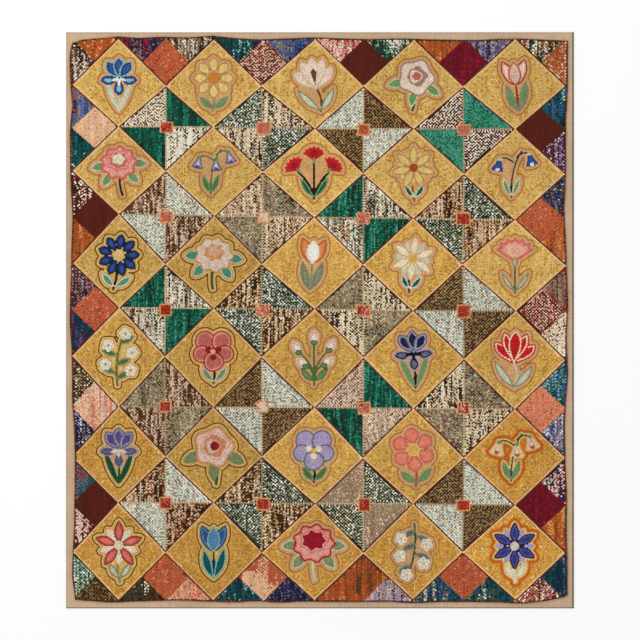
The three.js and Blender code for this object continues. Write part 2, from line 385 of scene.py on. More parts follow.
#: The recipes of the mixes, by manner: a line for each, its name and its yarns with their shares.
RECIPES: dict[Manner, str] = {
    Manner.GROUND: """
    golden ground: honey 2.8 gold 5.4 straw 1.4
    pale ground: honey 2.2 gold 2 pale_gold 4.8 butter 1.3
    amber ground: honey 3 amber 5.6 straw 1.2
    """,
    Manner.EVEN: """
    terracotta: brick 1 terracotta 6 salmon 1
    maroon: walnut 2 maroon 6
    burgundy: burgundy 6 crimson 1
    peach: tan .6 peach 6 shell 1.6
    salmon: terracotta 1.4 salmon 5 apricot 1
    brick: brick 4 red 2 rose 1.6
    rose: terracotta 3 rose 3 mauve 1.4 salmon 1.2
    red brown: bark 2.4 brick 2 terracotta 4 rose 1
    red: maroon 1.4 brick 5 red 2.4 rose 1.4
    red dots: crimson 1.2 brick 4 rose 2 shell 1.4
    washed red: brick 2 rose 3.6 salmon 1.4 shell 2
    red and white: maroon 1 brick 3.4 rose 1.4 pale_pink 2.4
    pale cream: peach 3 shell 4 cream 3
    """,
    Manner.SHADED: """
    bottle green: black .8 spruce 3.4 bottle 4.2 emerald 3
    dark emerald: black 1.2 spruce 3 bottle 3 emerald 3 jade 1.2
    dark teal: deep_teal 4 spruce 2 bottle 1 teal 4 mint .3
    teal blue: black 1 deep_teal 2.4 teal 4 denim 2.4 mint .8
    teal spring: deep_teal 1.6 teal 4 denim 1.4 sage 1 aqua 1.8
    """,
    Manner.SPECKLED: """
    olive cream: black 2 olive_brown 4 tweed_tan 2 cream 1.4
    cream flecked: black .8 bark 1.4 tan 1 shell 3 cream 5
    salmon pink: terracotta 2 salmon 3 pink 2 peach 3
    navy tweed: ink 2 navy 5 plum 1.2 denim 1 slate 1.2
    rust pink: bark .8 rust 2.8 terracotta 2.6 tan 1.4 shell 1
    """,
    Manner.CHECKED: """
    oat tweed: charcoal 2.6 bark 1.4 oat 1.6 shell 2 cream 3.4 chalk 1.6
    spruce tweed: ink 2.8 spruce 3.6 sage 1.6 stone .8 mint .8 chalk 1.8
    ice: slate .5 stone 2 mint 1.2 ice 4.6 chalk 3
    olive tweed: black 2 walnut 2.8 olive_brown 2 bracken 3.4 tweed_tan 1.1
    black check: black 4.8 tweed_tan .8 shell 3 chalk 1.8
    spruce white streak: black 2.8 spruce 3.8 sage 1.8 stone .8 chalk 1.7
    pink grey tweed: charcoal 1.2 stone 1.6 mauve 1.4 oat 2.4 shell 4.4 cream .8
    green check: black 2 spruce 2.6 sage 2.6 tweed_tan .8 chalk 1.8
    taupe heather: stone 2.4 mauve 3 tweed_tan 3 shell 1.6
    ice teal: slate .4 stone 1.6 mint 1.8 ice 4.6 chalk 3.2
    rose maroon tweed: ink .8 maroon 4.2 rose 2.4 oat .6 shell 2.2
    dark brown tweed: black 2 walnut 3 olive_brown 3 bracken 2.6
    """,
    Manner.HEATHER: """
    jade: bottle 2.4 emerald 3.6 jade 4.6
    heather: black .5 charcoal 2.4 sage 2.4 bracken 1.2 mauve 2.4 stone 1.2 oat 2
    walnut heather: walnut 1.8 sage 2.6 bracken 1.2 stone 1.6 mauve 1.4 oat 2.2
    """,
    Manner.STREAKED: """
    salt and pepper: ink 2.4 stone 1.4 cream 2 chalk 5
    bold streak: black 1.8 walnut 2 sage .6 oat 2 shell 1.4 cream 4
    pink brown streak: black 2 bark 3.6 mauve .6 oat 2 shell 2.4
    fleck pink: black 1.9 bark 1.8 tan 1 oat 2 shell 2 cream 3
    black white rust: ink 2.8 rust .4 stone 1.2 sage .5 oat 1.6 chalk 3.8
    tan streak: black .8 walnut 2.8 tan 2.6 shell 2.6 cream 1
    cream brown streak: black 1.5 walnut 2.3 oat 2 cream 3.5
    brown cream streak: black 1.3 walnut 3.4 tan 2 shell .6 cream 2.2
    rust black streak: black 2 walnut 2.6 rust .9 oat 2.2 shell 1.5
    blue red dark: black 2 navy 3 crimson 1.6 slate 2 mauve 1
    grey brown white: black 2 bark 2.4 stone 2 oat 1 chalk 2
    pink red white: bark 1 crimson 2 rose 2 pink 3 chalk 2.4
    slate lavender: ink 1.6 maroon 1 purple 1.4 slate 2 stone 1 lavender 2.4
    black white maroon: black 3.4 maroon 2.4 rose .8 chalk 2.6
    purple black grey: black 2.4 plum 3 stone 1.6 rose 1 lavender 1.2
    navy lavender white: ink 2 navy 3 stone .8 lavender 2 chalk 1.6
    pink white maroon: maroon 3.2 plum 1 pink 2.4 chalk 2.6
    purple white maroon: maroon 2.6 plum 3 lavender 1.4 chalk 1.8
    blue green rust: spruce 2.4 navy 2.6 rust 1.2 denim 2 sage 1 chalk .9
    blue white: navy .8 denim 2.6 stone 2 lavender 2 chalk 1.6
    purple navy white: navy 2.4 plum 3 pink 1.8 chalk 2
    lavender black: ink 1.8 mauve 3 lavender 3.4 shell 1.4
    black white pink: black 3.8 bark 1.2 plum .7 stone 1 shell 1.6 chalk 2.4
    green white black: black 2 spruce 2.6 rust 1 tweed_tan 2 chalk 2
    teal green white: black 1.4 spruce 2.4 jade 1.2 sage 1.6 mint 1.4 chalk 2
    red white green: bottle 2 bark 1.4 maroon 1.6 rose 2.6 shell 1.2 chalk 1.4
    edge row: walnut 4 maroon 3 bark 2 rust 1.2
    pale red lines: brick 1 pale_pink 3 cream 3
    """,
    Manner.BANDED: """
    teal: black 1 deep_teal 4 spruce 2 teal 4 bark .6 aqua 1
    denim: navy 1.6 denim 6 stone 2.4 tan .8
    green white: black 1 spruce 2.6 bottle 2.4 sage 1.2 mint 1 chalk 2.2
    rust orange: bark 1.4 rust 4.4 rust_orange 3.8 apricot 1
    blue rust: navy 1 rust 1.6 denim 4 stone 1.6
    navy teal maroon: deep_teal 4 navy 3 maroon 1 teal 1 purple .6
    rust orange tan: bark .6 rust 2 rust_orange 4 terracotta 3 tan 2
    red slate green: spruce 2 plum 1 brick 2.2 stone 3 mauve 2.2
    orange rust: bark .6 rust 3 rust_orange 3.6 orange 1.6 apricot 1.2
    brown green cream: black 3 walnut 4 bottle 1.6 olive_brown 3 cream .6
    rust: brick 1.6 rust 5 rust_orange 3 tan .8
    blue teal purple: deep_teal 1.6 navy 1.6 teal 3 purple 1 stone 2.8 cream .7
    teal cream: deep_teal 3 olive_brown 1 teal 3 stone 1.2 cream 1
    navy teal: deep_teal 3 navy 3 teal 2.6 denim .8 stone .8
    pink stripes: salmon 2 peach 2 pale_pink 2
    rust streak: bark 3.4 rust 4 rust_orange 2 orange .4
    """,
    Manner.HALVED: """
    teal crimson: deep_teal 1.6 teal 4 slate 1 crimson 3
    half and half: terracotta 1.6 peach 1.2
    """,
}
MIXES: dict[str, Mix] = {
    name.strip(): Mix(recipe, manner)
    for manner, chart in RECIPES.items()
    for name, recipe in (line.split(":") for line in chart.strip().splitlines())
}


# ---------------- the lattice


class Pile(Enum):
    """The pieces that the hooked pile is made in."""

    FLOWERS_UPPER = "flowers_upper"
    FLOWERS_MIDDLE = "flowers_middle"
    FLOWERS_LOWER = "flowers_lower"
    PINWHEELS_UPPER = "pinwheels_upper"
    PINWHEELS_LOWER = "pinwheels_lower"
    BORDER = "border_patches"


PILES: list[Pile] = list(Pile)


def charted(text: str) -> list[list[list[str]]]:
    """Read a chart of mixes: blank lines part its rows, and commas the mixes of one place."""
    return [[line.strip().split(", ") for line in row.splitlines()] for row in text.strip().split("\n\n")]


#: The pinwheels, row by row from the top: upper left and lower right triangle, once where they are
#: alike, then the other two triangles, then the small square.
PINWHEELS = charted("""
    oat tweed, salt and pepper, bottle green, brick
    spruce tweed, bold streak, rose
    ice, olive tweed, red brown
    black check, jade, rose

    pink brown streak, ice, rose
    fleck pink, heather, pale cream
    dark emerald, black white rust, washed red
    tan streak, spruce white streak, red

    dark emerald, black white rust, red
    brown cream streak, spruce tweed, washed red
    heather, cream brown streak, red dots
    olive tweed, ice, brick

    walnut heather, pink brown streak, red
    olive tweed, ice, pale red lines
    pink grey tweed, dark emerald, washed red
    cream brown streak, heather, red and white

    rust black streak, ice teal, red
    brown cream streak, spruce white streak, brick
    taupe heather, green check, red
    olive tweed, ice teal, brick
""")
#: The gaps along the edges, from the left or the top: first patch, small diamond, second patch.
TOP_GAPS, BOTTOM_GAPS, LEFT_GAPS, RIGHT_GAPS = charted("""
    blue red dark, terracotta, grey brown white
    teal, rose maroon tweed, denim
    pink red white, maroon, green white
    rust orange, burgundy, slate lavender

    brown green cream, terracotta, salmon pink
    teal, half and half, navy tweed
    rust, rust streak, lavender black
    blue teal purple, terracotta, teal cream

    blue rust, peach, dark teal
    black white maroon, maroon, rust orange
    purple black grey, terracotta, navy teal maroon
    olive cream, pink stripes, navy lavender white
    teal crimson, maroon, pink white maroon

    teal blue, maroon, purple white maroon
    blue green rust, terracotta, rust orange tan
    red slate green, rose maroon tweed, cream flecked
    teal spring, salmon, blue white
    purple navy white, burgundy, orange rust
""")
#: The corners of the rug, each the way out to it and the mixes of the patches beside and above it.
CORNERS: tuple[tuple[int, int, str, str], ...] = (
    (-1, 1, "black white pink", "rust orange"), (1, 1, "rust pink", "green white black"),
    (-1, -1, "teal green white", "dark brown tweed"), (1, -1, "navy teal", "red white green"),
)

#: Sideways places of the corners in which side-by-side diamonds meet, left to right.
SIDE_CORNERS: tuple[float, ...] = (-801, -502, -187, 141, 465, 795)
#: Sideways places of the diamonds' upper and lower corners.
COLUMN_MIDDLES: tuple[float, ...] = (-653, -345, -16, 303, 633)
#: The seams through the diamonds' upper and lower corners, top first: height at left and right.
END_SEAMS: tuple[tuple[float, float], ...] = (
    (910, 910), (627, 617), (344, 324), (44, 28), (-278, -292), (-590, -600), (-907, -907),
)
#: The seams through the diamonds' side corners, top first: height at left and right.
SIDE_SEAMS: tuple[tuple[float, float], ...] = (
    (762, 758), (484, 474), (185, 176), (-114, -128), (-444, -446), (-751, -756),
)
COLUMNS, ROWS = len(COLUMN_MIDDLES), len(SIDE_SEAMS)


@dataclass(frozen=True)
class Patch:
    """One outlined area of the rug, its yarn mix, and the piece that it is made in."""

    outline: Points
    mix: str
    pile: Pile = Pile.BORDER


@dataclass(frozen=True)
class Lattice:
    """The on-point lattice: where its corners lie, and the patches between them.

    Seams slope evenly over `half_width` either side of the middle, and a hand-drawn corner lies up
    to `stray` off its seam. The edge patches `reach` past the field, so that they fill it to its own
    edge, and the small diamonds there point `tip` past the line of the edge corners.
    """

    square: tuple[float, float] = (44.0, 40.0)
    half_width: float = 802.0
    stray: float = 2.5
    reach: float = 70.0
    tip: float = 3
    side_seed: int = 301
    end_seed: int = 401

    def _corner(self, x: float, seam: tuple[float, float], column: int, row: int, seed: int) -> Points:
        """Give one hand-drawn corner of the lattice.

        Args:
            x: its place across the rug.
            seam: the seam that it lies on.
            column: its number across.
            row: its number along.
            seed: number of that kind of corner's draws.

        Returns:
            Its place.
        """
        share = (x + self.half_width) / (2 * self.half_width)
        stray = hash01(np.array([column] * 2), np.array([row] * 2), np.array([seed, seed + 1]))
        return np.array([x, seam[0] + (seam[1] - seam[0]) * share]) + (stray * 2 - 1) * self.stray

    def side(self, column: int, row: int) -> Points:
        """Give the corner in which the diamonds of one row meet, counted from the left edge."""
        return self._corner(SIDE_CORNERS[column], SIDE_SEAMS[row], column, row, self.side_seed)

    def end(self, column: int, seam: int) -> Points:
        """Give the corner in which the diamonds of one column meet, counted from the top edge."""
        return self._corner(COLUMN_MIDDLES[column], END_SEAMS[seam], column, seam, self.end_seed)

    def diamond(self, column: int, row: int) -> Points:
        """Give the corners of one flower diamond, anticlockwise from its top."""
        ends = self.end(column, row), self.end(column, row + 1)
        return np.array([ends[0], self.side(column, row), ends[1], self.side(column + 1, row)])

    def pinwheel(self, column: int, row: int) -> Points:
        """Give the corners of one pinwheel, anticlockwise from its top."""
        sides = self.side(column + 1, row), self.side(column + 1, row + 1)
        return np.array([sides[0], self.end(column, row + 1), sides[1], self.end(column + 1, row + 1)])

    def patches(self) -> list[Patch]:
        """List every patch but the flower diamonds, the pinwheels first.

        Returns:
            The patches.
        """
        found: list[Patch] = []
        for row, wheels in enumerate(PINWHEELS):
            pile = Pile.PINWHEELS_UPPER if row < 2 else Pile.PINWHEELS_LOWER
            for column, wheel in enumerate(wheels):
                corners = self.pinwheel(column, row)
                mixes = (wheel[0], wheel[-2], wheel[-3], wheel[-2])
                for (first, second), mix in zip(edges(corners), mixes):
                    found.append(Patch(np.array([corners.mean(axis=0), first, second]), mix, pile))
        up, left = np.array([0.0, 1.0]), np.array([-1.0, 0.0])
        side, end = self.side, self.end
        for i, (top, bottom) in enumerate(zip(TOP_GAPS, BOTTOM_GAPS)):
            found += self._gap(end(i, 0), end(i + 1, 0), side(i + 1, 0), up, top)
            found += self._gap(end(i, ROWS), end(i + 1, ROWS), side(i + 1, ROWS - 1), -up, bottom)
        for i, (near, far) in enumerate(zip(LEFT_GAPS, RIGHT_GAPS)):
            found += self._gap(side(0, i), side(0, i + 1), end(0, i + 1), left, near)
            found += self._gap(side(COLUMNS, i), side(COLUMNS, i + 1), end(COLUMNS - 1, i + 1), -left, far)
        return found + self._corners()

    def _gap(
        self, first: Points, last: Points, inner: Points, out: Points, mixes: Sequence[str]
    ) -> list[Patch]:
        """Give the three patches of one gap along an edge.

        Args:
            first: the corner on the edge on the left, or above.
            last: the corner on the edge on the right, or below.
            inner: the corner that points into the rug.
            out: unit step out of the rug.
            mixes: mixes of the first patch, the small diamond and the second patch.

        Returns:
            The two edge patches and the small diamond.
        """
        middle, before, after = (first + last) / 2, (first + inner) / 2, (last + inner) / 2
        far, tip = out * self.reach, middle + out * self.tip
        return [
            Patch(np.array([first + far, first, before, tip, middle + far]), mixes[0]),
            Patch(np.array([middle + far, tip, after, last, last + far]), mixes[2]),
            Patch(np.array([tip, before, inner, after]), mixes[1]),
        ]

    def _corners(self) -> list[Patch]:
        """Give the two patches of each corner of the rug.

        Returns:
            The patches.
        """
        found: list[Patch] = []
        for out_x, out_y, side_mix, end_mix in CORNERS:
            at_side = self.side(COLUMNS if out_x > 0 else 0, 0 if out_y > 0 else ROWS - 1)
            at_end = self.end(COLUMNS - 1 if out_x > 0 else 0, 0 if out_y > 0 else ROWS)
            out = np.array([out_x, out_y]) * self.reach
            fold, corner = (at_side + at_end) / 2, np.array([at_side[0], at_end[1]]) + out
            for near, far, mix in ((at_side, [out[0], 0.0], side_mix), (at_end, [0.0, out[1]], end_mix)):
                found.append(Patch(np.array([near + far, near, fold, corner]), mix))
        return found


# ---------------- flowers


@dataclass(frozen=True)
class Shape:
    """One hooked shape: its anticlockwise outline, and the yarn of each row from the edge in."""

    outline: Points
    tones: tuple[str, ...]

    def moved(self, at: Sequence[float] = (0, 0), degrees: float = 0.0, scale: float = 1.0) -> "Shape":
        """Give the shape scaled, then turned, then moved."""
        return Shape(turned(self.outline * scale, degrees) + np.array(at), self.tones)

    def spoke(self, radius: float, degrees: float) -> "Shape":
        """Set the shape's foot out from the origin, at an angle from straight up, pointing outwards."""
        return self.moved(turned(np.array([[0.0, radius]]), degrees)[0], degrees)

    def ring(self, count: int, radius: float, start: float = 0.0) -> list["Shape"]:
        """Set copies of the shape round the origin, the first at an angle from straight up."""
        return [self.spoke(radius, start + 360.0 * i / count) for i in range(count)]


def shape(points: Points, tones: str) -> Shape:
    """Make a shape from the points of its outline and the names of its yarns."""
    return Shape(anticlockwise(np.asarray(points, float)), tuple(tones.split()))


def petal(length: float, width: float, tones: str, belly: float = 1.3, bend: float = 0.0) -> Shape:
    """Draw a petal or a leaf that grows up from the origin.

    Args:
        length: from base to tip.
        width: widest part.
        tones: yarns from the edge in.
        belly: over 1 moves the widest part towards the tip.
        bend: sideways lean of the tip.

    Returns:
        The shape.
    """
    t = np.linspace(0.0, 1.0, 17)
    half, lean = width / 2 * np.sin(np.pi * t ** belly) ** 0.75, bend * t ** 2
    right = np.column_stack([lean + half, t * length])
    left = np.column_stack([lean - half, t * length])[::-1]
    return shape(np.vstack([right, left[1:-1]]), tones)


def disc(radius: float, tones: str, lobes: int = 0, depth: float = 0.0, squash: float = 1.0) -> Shape:
    """Draw a round, with lobes along its rim where it has any.

    Args:
        radius: middle radius.
        tones: yarns from the edge in.
        lobes: number of lobes.
        depth: how far the rim swings in and out, as a share of the radius.
        squash: height as a share of width.

    Returns:
        The shape, centred on the origin.
    """
    a = np.linspace(0.0, 2 * np.pi, max(24, lobes * 8), endpoint=False)
    r = radius * (1 + depth * np.cos(lobes * a + np.pi / 2 * (1 - lobes % 2)))
    return shape(np.column_stack([r * np.cos(a), squash * r * np.sin(a)]), tones)


@dataclass(frozen=True)
class Flower:
    """One flower of a diamond, its yarns named in strings from the edge of a shape in.

    `other` names the yarns of a second set of petals. `slim` is the width of a daisy's petals, as a
    share of those that touch, and `filling` the share of the way from the diamond's middle to its
    edges that the flower fills.
    """

    bloom: str
    heart: str
    green: str
    stalk: str = "dark_leaf"
    lean: float = 0.0
    count: int = 0
    other: str = ""
    slim: float = 1.0
    filling: float = 0.79
    stem_width: float = 6.5

    def shapes(self) -> list[Shape]:
        """List the shapes, the hindmost first."""
        raise NotImplementedError

    def inner(self) -> str:
        """Name the bloom's yarns from the second on, with the first at the end."""
        first, _, rest = self.bloom.partition(" ")
        return f"{rest} {first}"

    def stem(self, *points: Sequence[float]) -> Shape:
        """Draw a stem along a curve.

        Args:
            points: its start, the place that pulls it aside, and its end.

        Returns:
            The shape.
        """
        start, pull, finish = (np.array(p, float) for p in points)
        t = np.linspace(0.0, 1.0, 12)[:, None]
        line = (1 - t) ** 2 * start + 2 * t * (1 - t) * pull + t ** 2 * finish
        along = np.gradient(line, axis=0)
        along /= np.linalg.norm(along, axis=1, keepdims=True)
        across = np.column_stack([-along[:, 1], along[:, 0]]) * self.stem_width / 2
        return shape(np.vstack([line + across, (line - across)[::-1]]), self.stalk)

    def leaves(self, at: Sequence[float], length: float, width: float, spread: float) -> list[Shape]:
        """Set two bending leaves either side of the stem.

        Args:
            at: place of their bases.
            length: length of the right leaf.
            width: width of a leaf.
            spread: angle of each leaf from straight up.

        Returns:
            The two leaves.
        """
        right = petal(length, width, self.green, 1.1, -length * 0.18).moved(at, -spread)
        left = petal(length * 0.94, width, self.green, 1.1, length * 0.18).moved(at, spread)
        return [right, left]

    def fitted(self, corners: Points) -> list[Shape]:
        """Lean the flower, and scale and centre it in its diamond.

        Args:
            corners: corners of the diamond, anticlockwise from its top.

        Returns:
            The placed shapes.
        """
        top, left, bottom, right = corners
        reach = np.array([np.linalg.norm(right - left), np.linalg.norm(top - bottom)]) / 2
        leaning = [one.moved((0, 0), self.lean) for one in self.shapes()]
        every = np.vstack([one.outline for one in leaning])
        centre = (every.min(axis=0) + every.max(axis=0)) / 2
        scale = self.filling / (np.abs(every - centre) / reach).sum(axis=1).max()
        return [one.moved(corners.mean(axis=0) - centre * scale, 0.0, scale) for one in leaning]


class Daisy(Flower):
    """A round daisy seen face on, with two leaves under it."""

    def shapes(self) -> list[Shape]:
        """List the shapes, the hindmost first.

        Returns:
            The shapes.
        """
        one = petal(56, 2 * math.pi * 44 / self.count * self.slim, self.bloom, 1.5)
        return [
            self.stem((0, -40), (6, -80), (-4, -112)), *self.leaves((0, -100), 62, 24, 62),
            *one.ring(self.count, 12), disc(19, self.heart, 6, 0.05),
        ]


class Starflower(Flower):
    """Two rings of pointed petals about a button."""

    def shapes(self) -> list[Shape]:
        """List the shapes, the hindmost first.

        Returns:
            The shapes.
        """
        return [
            self.stem((0, -30), (-8, -84), (4, -118)), *self.leaves((2, -104), 58, 22, 48),
            *petal(54, 26, self.other, 0.9).ring(self.count, 10, 180 / self.count),
            *petal(68, 30, self.bloom, 0.95).ring(self.count, 10), disc(15, self.heart),
        ]


class Tulip(Flower):
    """A cup of three pointed petals between two broad leaves."""

    def shapes(self) -> list[Shape]:
        """List the shapes, the hindmost first.

        Returns:
            The shapes.
        """
        w = 92.0
        found = [self.stem((0, 0), (3, -50), (0, -104)), *self.leaves((0, -104), 118, 34, 30)]
        for way in (1, -1):
            side = petal(w * 1.08, w * 0.5, self.bloom, 0.95, way * w * 0.12)
            found.append(side.moved((way * w * 0.1, -2), -14 * way))
        return found + [petal(w * 0.98, w * 0.52, self.heart, 0.9).moved((0, -4))]


class Bells(Flower):
    """Bells that hang from an arching stalk, with leaves at its foot."""

    def _bell(self) -> Shape:
        """Draw one bell that hangs from the origin with a scalloped mouth.

        Returns:
            The shape.
        """
        t, mouth = np.linspace(0.0, 1.0, 9), np.linspace(1.0, -1.0, 13)[1:-1]
        half = 9 + 17 * t ** 1.6
        rim = np.column_stack([26 * mouth, -46 - 7 * np.abs(np.sin(mouth * np.pi * 1.5))])
        left = np.column_stack([-half, -46 * t])[::-1]
        return shape(np.vstack([np.column_stack([half, -46 * t]), rim, left]), self.bloom)

    def shapes(self) -> list[Shape]:
        """List the shapes, the hindmost first.

        Returns:
            The shapes.
        """
        found = [self.stem((-14, -112), (-18, 10), (30, 84)), *self.leaves((-14, -106), 88, 26, 34)]
        for x, y, tilt in ((62, 72, 16), (-62, 50, -14), (8, 40, 4))[: self.count]:
            found += [
                self.stem((8 if x > 0 else -4, y - 14), (x * 0.6, y + 16), (x, y)),
                self._bell().moved((x, y), tilt),
                disc(9, self.heart, squash=0.8).moved((x + tilt * 0.8, y - 44)),
                disc(10, self.green, squash=0.7).moved((x, y)),
            ]
        return found


class Rose(Flower):
    """A full rose of wrapped petals with three leaves."""

    def shapes(self) -> list[Shape]:
        """List the shapes, the hindmost first.

        Returns:
            The shapes.
        """
        return [
            self.stem((4, -20), (10, -70), (-2, -112)),
            *[petal(64, 30, self.green, 1.0).spoke(36.0, angle) for angle in (112, 176, -122)],
            disc(58, self.bloom, 5, 0.09), disc(40, self.inner(), 4, 0.09).moved((4, 4), 30),
            disc(26, self.bloom, 3, 0.1).moved((-2, 3), 10), disc(13, self.heart).moved((2, 3)),
        ]


class Carnation(Flower):
    """Fan-shaped blooms with a toothed rim, one large or three small."""

    def _head(self) -> list[Shape]:
        """Draw one head that fans up from the origin.

        Returns:
            Its fan, its core and its cup.
        """
        a = np.radians(np.linspace(-62, 62, 27))
        teeth = 62 + 6 * np.cos(np.arange(27) * np.pi * 2 / 4.4)
        rim = np.column_stack([np.sin(a) * teeth, np.cos(a) * teeth])
        fan = shape(np.vstack([rim[::-1], [[-6, -4], [6, -4]]]), self.bloom)
        return [fan, petal(44, 40, self.heart, 1.6), petal(30, 17, self.green, 1.0).moved((0, -22))]

    def shapes(self) -> list[Shape]:
        """List the shapes, the hindmost first.

        Returns:
            The shapes.
        """
        spots, scale = ((0, 10, 0),), 1.2
        if self.count == 3:
            spots, scale = ((-56, -10, 40), (54, -10, -40), (0, 26, 0)), 0.66
        found = [self.stem((0, -112), (x * 0.2, -50), (x, y - 8)) for x, y, _ in spots]
        found += self.leaves((0, -104), 84, 20, 46)
        return found + [one.moved((x, y), tilt, scale) for x, y, tilt in spots for one in self._head()]


class Pansy(Flower):
    """A pansy face: two petals behind, three in front, and a dark heart."""

    def shapes(self) -> list[Shape]:
        """List the shapes, the hindmost first.

        Returns:
            The shapes.
        """
        return [
            self.stem((0, -40), (8, -84), (0, -116)), *self.leaves((2, -108), 70, 26, 52),
            *[disc(37, self.bloom, 0, 0, 1.05).moved((x, 38)) for x in (-30, 30)],
            *[disc(34, self.bloom, 0, 0, 0.95).moved((x, -8)) for x in (-42, 42)],
            disc(38, self.bloom, 3, 0.05, 0.95).moved((0, -36)),
            *[petal(32, 22, self.other, 1.4).moved((0, 0), angle) for angle in (64, 180, -64)],
            disc(9, self.heart),
        ]


class Lily(Flower):
    """A trumpet seen from the side, its mouth turned up, with long leaves."""

    def shapes(self) -> list[Shape]:
        """List the shapes, the hindmost first.

        Returns:
            The shapes.
        """
        sides = ((44, 0.92), (-44, 0.92), (20, 1.05), (-20, 1.05))
        return [
            self.stem((6, -112), (22, -60), (2, -26)),
            petal(112, 28, self.green, 1.1, 22).moved((8, -108), 52),
            petal(96, 28, self.green, 1.0, -18).moved((6, -108), -48),
            *[petal(112 * size, 40, self.bloom, 1.5).moved((0, -30), angle) for angle, size in sides],
            petal(116, 44, self.bloom.partition(" ")[2], 1.4).moved((0, -30)),
            petal(62, 15, self.heart, 1.6).moved((0, -14)),
        ]


class Peony(Flower):
    """A heavy many-lobed bloom on a bed of leaves."""

    def shapes(self) -> list[Shape]:
        """List the shapes, the hindmost first.

        Returns:
            The shapes.
        """
        return [
            self.stem((0, -30), (-6, -80), (4, -108)),
            *[petal(60, 32, self.green, 1.1).spoke(34.0, angle) for angle in (96, 140, -140, -96)],
            disc(58, self.bloom, 9, 0.08, 0.92), disc(40, self.inner(), 7, 0.09, 0.85).moved((0, 8)),
            disc(21, self.heart, 5, 0.12, 0.8).moved((0, 12)),
        ]


class Iris(Flower):
    """Three upright petals over three falls, with sword leaves."""

    def shapes(self) -> list[Shape]:
        """List the shapes, the hindmost first.

        Returns:
            The shapes.
        """
        falls = ((112, 14), (-112, -14), (180, 0))
        return [
            self.stem((0, -10), (2, -60), (0, -118)),
            *[petal(128, 20, self.green, 1.0, lean).moved((0, -118), 2.7 * lean) for lean in (-10, 10)],
            *[petal(78, 42, self.bloom, 1.35).moved((0, 0), angle) for angle in (36, 0, -36)],
            *[petal(66, 36, self.inner(), 1.5, lean).moved((0, 4), angle) for angle, lean in falls],
            *[petal(30, 11, self.heart, 1.0).moved((0, 2), angle) for angle, _ in falls],
        ]


class Buds(Flower):
    """Stalks that part and end in closed buds."""

    def shapes(self) -> list[Shape]:
        """List the shapes, the hindmost first.

        Returns:
            The shapes.
        """
        heads = ((0, 62, 0), (-62, 22, 26), (60, 30, -24), (-34, -34, 50), (40, -30, -50))
        found = [self.stem((0, -112), (0, (y - 60) * 0.4), (x, y)) for x, y, _ in heads]
        found += self.leaves((0, -92), 74, 26, 58)
        for x, y, tilt in heads:
            found.append(petal(52, 36, self.bloom, 0.85).moved((x, y), tilt))
            found.append(petal(30, 18, self.heart, 1.0).moved((x, y + 4), tilt))
            found.append(disc(14, self.green, squash=0.8).moved((x, y)))
        return found


class Sprig(Flower):
    """A twig of small five-petalled blossoms among leaves."""

    def shapes(self) -> list[Shape]:
        """List the shapes, the hindmost first.

        Returns:
            The shapes.
        """
        leaves = ((-18, -64, 64), (-18, -30, -70), (-14, 6, 72), (2, 50, -60), (-16, -84, -64))
        heads = ((20, 88, 10), (-46, 44, 40), (46, 16, -20), (-58, -30, 70), (40, -52, 0))
        found = [self.stem((-10, -112), (-26, -10), (16, 92))]
        found += [petal(60, 24, self.green, 1.0).moved((x, y), angle) for x, y, angle in leaves]
        for x, y, angle in heads:
            head = petal(22, 20, self.bloom, 1.4).ring(5, 3, angle) + [disc(7, self.heart)]
            found += [one.moved((x, y)) for one in head]
        return found


#: The flower of each diamond, left to right along each row, top row first.
FLOWERS: tuple[tuple[Flower, ...], ...] = (
    (
        Iris("aqua royal denim", "white", "ice pale_leaf", "ice"),
        Daisy("tan butter straw", "honey orange", "sage leaf", "sage", 0, 8),
        Lily("shell cream pale_pink", "bark", "sage ice pale_leaf", "bark", 8),
        Rose("mauve pale_pink cream", "rose", "pale_leaf leaf", "dark_leaf", -6),
        Tulip("brick peach pale_pink", "terracotta shell", "sage sage leaf", "brick", 6),
    ),
    (
        Peony("rose coral pink", "cream", "pale_leaf sage leaf", "ink", 5),
        Bells("slate lavender chalk", "purple", "leaf moss", "moss", 0, 3),
        Carnation("scarlet red", "crimson", "leaf dark_leaf", "black", 0, 3),
        Starflower("tan butter straw", "rust", "pale_leaf dark_leaf", "rust", 0, 7, "gold straw"),
        Bells("royal denim", "white", "pale_leaf sage", "navy", 0, 2),
    ),
    (
        Daisy("navy royal denim", "straw", "cream jade", "ink", -8, 9, slim=0.95),
        Peony("apricot cream pale_pink", "peach", "ice jade", "dark_leaf", -4),
        Tulip("rust_orange orange salmon", "cream white", "sage stone sage", "sage", -5),
        Starflower("sand cream cream", "gold", "ice teal", "deep_teal", -8, 6, "ice"),
        Carnation("rose coral pink", "straw pink", "sage oat sage", "moss", 0, 1),
    ),
    (
        Sprig("white cream", "gold", "sage moss", "moss"),
        Pansy("red pink rose", "straw", "ice sage", "ink", 0, 0, "crimson"),
        Buds("pale_pink peach", "white", "moss leaf moss", "moss"),
        Iris("slate lavender navy", "ink", "sage leaf", "ink", 4),
        Lily("scarlet cream scarlet", "red", "sage ice", "ice", -4),
    ),
    (
        Iris("slate lavender purple", "cream", "dark_leaf bottle", "bottle"),
        Rose("salmon peach pale_pink", "brick crimson", "leaf sage", "dark_leaf", 4),
        Pansy("slate lavender lavender", "gold", "leaf moss", "ink", 0, 0, "cream"),
        Daisy("rose coral salmon", "straw gold", "sage leaf", "terracotta", 6, 6),
        Bells("pale_pink peach cream", "terracotta", "sage leaf", "dark_leaf", 0, 3),
    ),
    (
        Starflower("crimson rose coral", "cream", "sage ice", "sage", 0, 5, "pale_pink cream"),
        Tulip("royal sky denim", "aqua sky", "aqua teal", "deep_teal"),
        Peony("crimson coral pink", "crimson", "pale_leaf sage", "pale_leaf"),
        Sprig("white ice", "yellow", "sage slate", "dark_leaf", 180),
        Starflower("navy purple royal", "ice", "ice cream", "cream", 0, 6, "lavender"),
    ),
)


